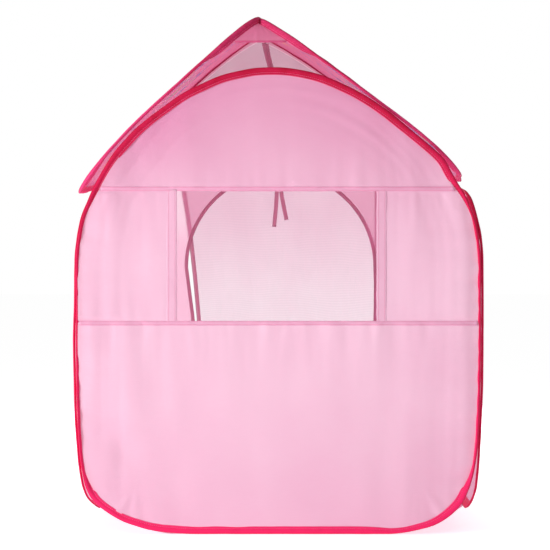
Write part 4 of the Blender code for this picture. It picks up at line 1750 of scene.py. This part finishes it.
def stitch_tree(finish):
    """A node tree that lays one stitch at every step along the edges that it is given."""
    tree = bpy.data.node_groups.new("row_of_stitches", "GeometryNodeTree")
    tree.interface.new_socket("Geometry", in_out="INPUT", socket_type="NodeSocketGeometry")
    for name in stitch_sizes:
        tree.interface.new_socket(name, in_out="INPUT", socket_type="NodeSocketFloat")
    tree.interface.new_socket("Geometry", in_out="OUTPUT", socket_type="NodeSocketGeometry")
    given = Link(tree).node("NodeGroupInput")
    pitch, length, thickness = (given.output(name) for name in stitch_sizes)
    line = given.node("GeometryNodeMeshToCurve", {"Mesh": given.output("Geometry")})
    line = given.node("GeometryNodeResampleCurve", {"Curve": line, "Length": pitch}, mode="LENGTH")
    bead = given.node("GeometryNodeMeshUVSphere", {"Segments": 5, "Rings": 4, "Radius": 0.5})
    tangent = given.node("GeometryNodeInputTangent")
    heading = given.node("FunctionNodeAlignRotationToVector", {"Vector": tangent}, axis="X")
    size = given.node("ShaderNodeCombineXYZ", {0: length, 1: thickness, 2: thickness})
    laid = given.node(
        "GeometryNodeInstanceOnPoints",
        {"Points": line, "Instance": bead, "Rotation": heading, "Scale": size},
    )
    real = given.node("GeometryNodeRealizeInstances", {"Geometry": laid})
    coloured = given.node("GeometryNodeSetMaterial", {"Geometry": real, "Material": finish})
    given.node("NodeGroupOutput", {"Geometry": coloured})
    return tree


thread_finish = twisted_thread("pink_thread", dye(248, 132, 178), dye(226, 88, 142))
stitches = stitch_tree(thread_finish)
for body, rows in sewing.items():
    points, edges = [], []
    for row, closed in rows:
        first = len(points)
        points += [tuple(point) for point in row]
        edges += [(first + i, first + i + 1) for i in range(len(row) - 1)]
        if closed:
            edges.append((len(points) - 1, first))
    lines = bpy.data.meshes.new(body + "_seam_lines")
    lines.from_pydata(points, edges, [])
    guide = bpy.data.objects.new(body + "_seam_lines", lines)
    bpy.context.scene.collection.objects.link(guide)
    maker = guide.modifiers.new("stitches", "NODES")
    maker.node_group = stitches
    for item in stitches.interface.items_tree:
        if item.in_out == "INPUT" and item.name in stitch_sizes:
            maker[item.identifier] = stitch_sizes[item.name]
    bpy.context.view_layer.update()
    sewn = guide.evaluated_get(bpy.context.evaluated_depsgraph_get())
    laid = bpy.data.meshes.new_from_object(sewn)
    bpy.data.objects.remove(guide)
    thread = bpy.data.objects.new(body + "_stitches", laid)
    bpy.context.scene.collection.objects.link(thread)
    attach(thread, body)


# Studio. A plain white floor that carries the tent's soft shadow, a white surround, a lamp in front
# and to the left, and a broad one behind that shines through the front wall and the curtain.

floor_reach = 30.0
floor_z = -0.0006
image_pixels = 550
white = (1, 1, 1, 1)
bpy.ops.mesh.primitive_plane_add(size=floor_reach, location=(0, 0, floor_z))
studio_floor = bpy.context.object
studio_floor.name = "studio_floor"
floor_paint, start = new_finish("floor_paint")
floor_cloud = start.place().cloud(2.0)
floor_tone = (floor_cloud * 0.04).mixed((0.97, 0.97, 0.97, 1), (0.93, 0.93, 0.93, 1))
floor_matt = start.node("ShaderNodeBsdfDiffuse", {"Color": floor_tone})
floor_seen = start.node("ShaderNodeLightPath").output("Is Camera Ray")
floor_glow = {"Color": white, "Strength": floor_seen * 0.36 + 0.22}
floor_lift = start.node("ShaderNodeEmission", floor_glow)
floor_both = start.node("ShaderNodeAddShader", {0: floor_matt, 1: floor_lift})
studio_floor.data.materials.append(finished(floor_paint, start, floor_both))

surround = bpy.data.worlds.new("surround")
bpy.context.scene.world = surround
surround.use_nodes = True
surround.node_tree.nodes.clear()
start = Link(surround.node_tree)
rays = start.node("ShaderNodeLightPath")
seen = start.maths("MAXIMUM", rays.output("Is Camera Ray"), rays.output("Is Transmission Ray"))
ambient = 0.42
strength = seen * (1.0 - ambient) + ambient
air = start.node("ShaderNodeBackground", {"Color": white, "Strength": strength})
start.node("ShaderNodeOutputWorld", {"Surface": air})


def lamp(name, place, aim, size, power):
    data = bpy.data.lights.new(name, "AREA")
    data.shape = "RECTANGLE"
    data.size, data.size_y = size
    data.energy = power
    made = bpy.data.objects.new(name, data)
    bpy.context.scene.collection.objects.link(made)
    made.location = place
    made.rotation_euler = (Vector(aim) - Vector(place)).to_track_quat("-Z", "Y").to_euler()
    made.visible_camera = False


lamp("key_lamp", (-3.9, -3.3, 1.0), (0, -0.4, 0.35), (1.1, 1.1), 155)
lamp("back_lamp", (0.3, 3.2, 1.6), (0, 0.3, 0.5), (3.2, 2.4), 60)

bpy.context.scene.view_settings.view_transform = "Standard"
bpy.context.scene.render.resolution_x = image_pixels
bpy.context.scene.render.resolution_y = image_pixels
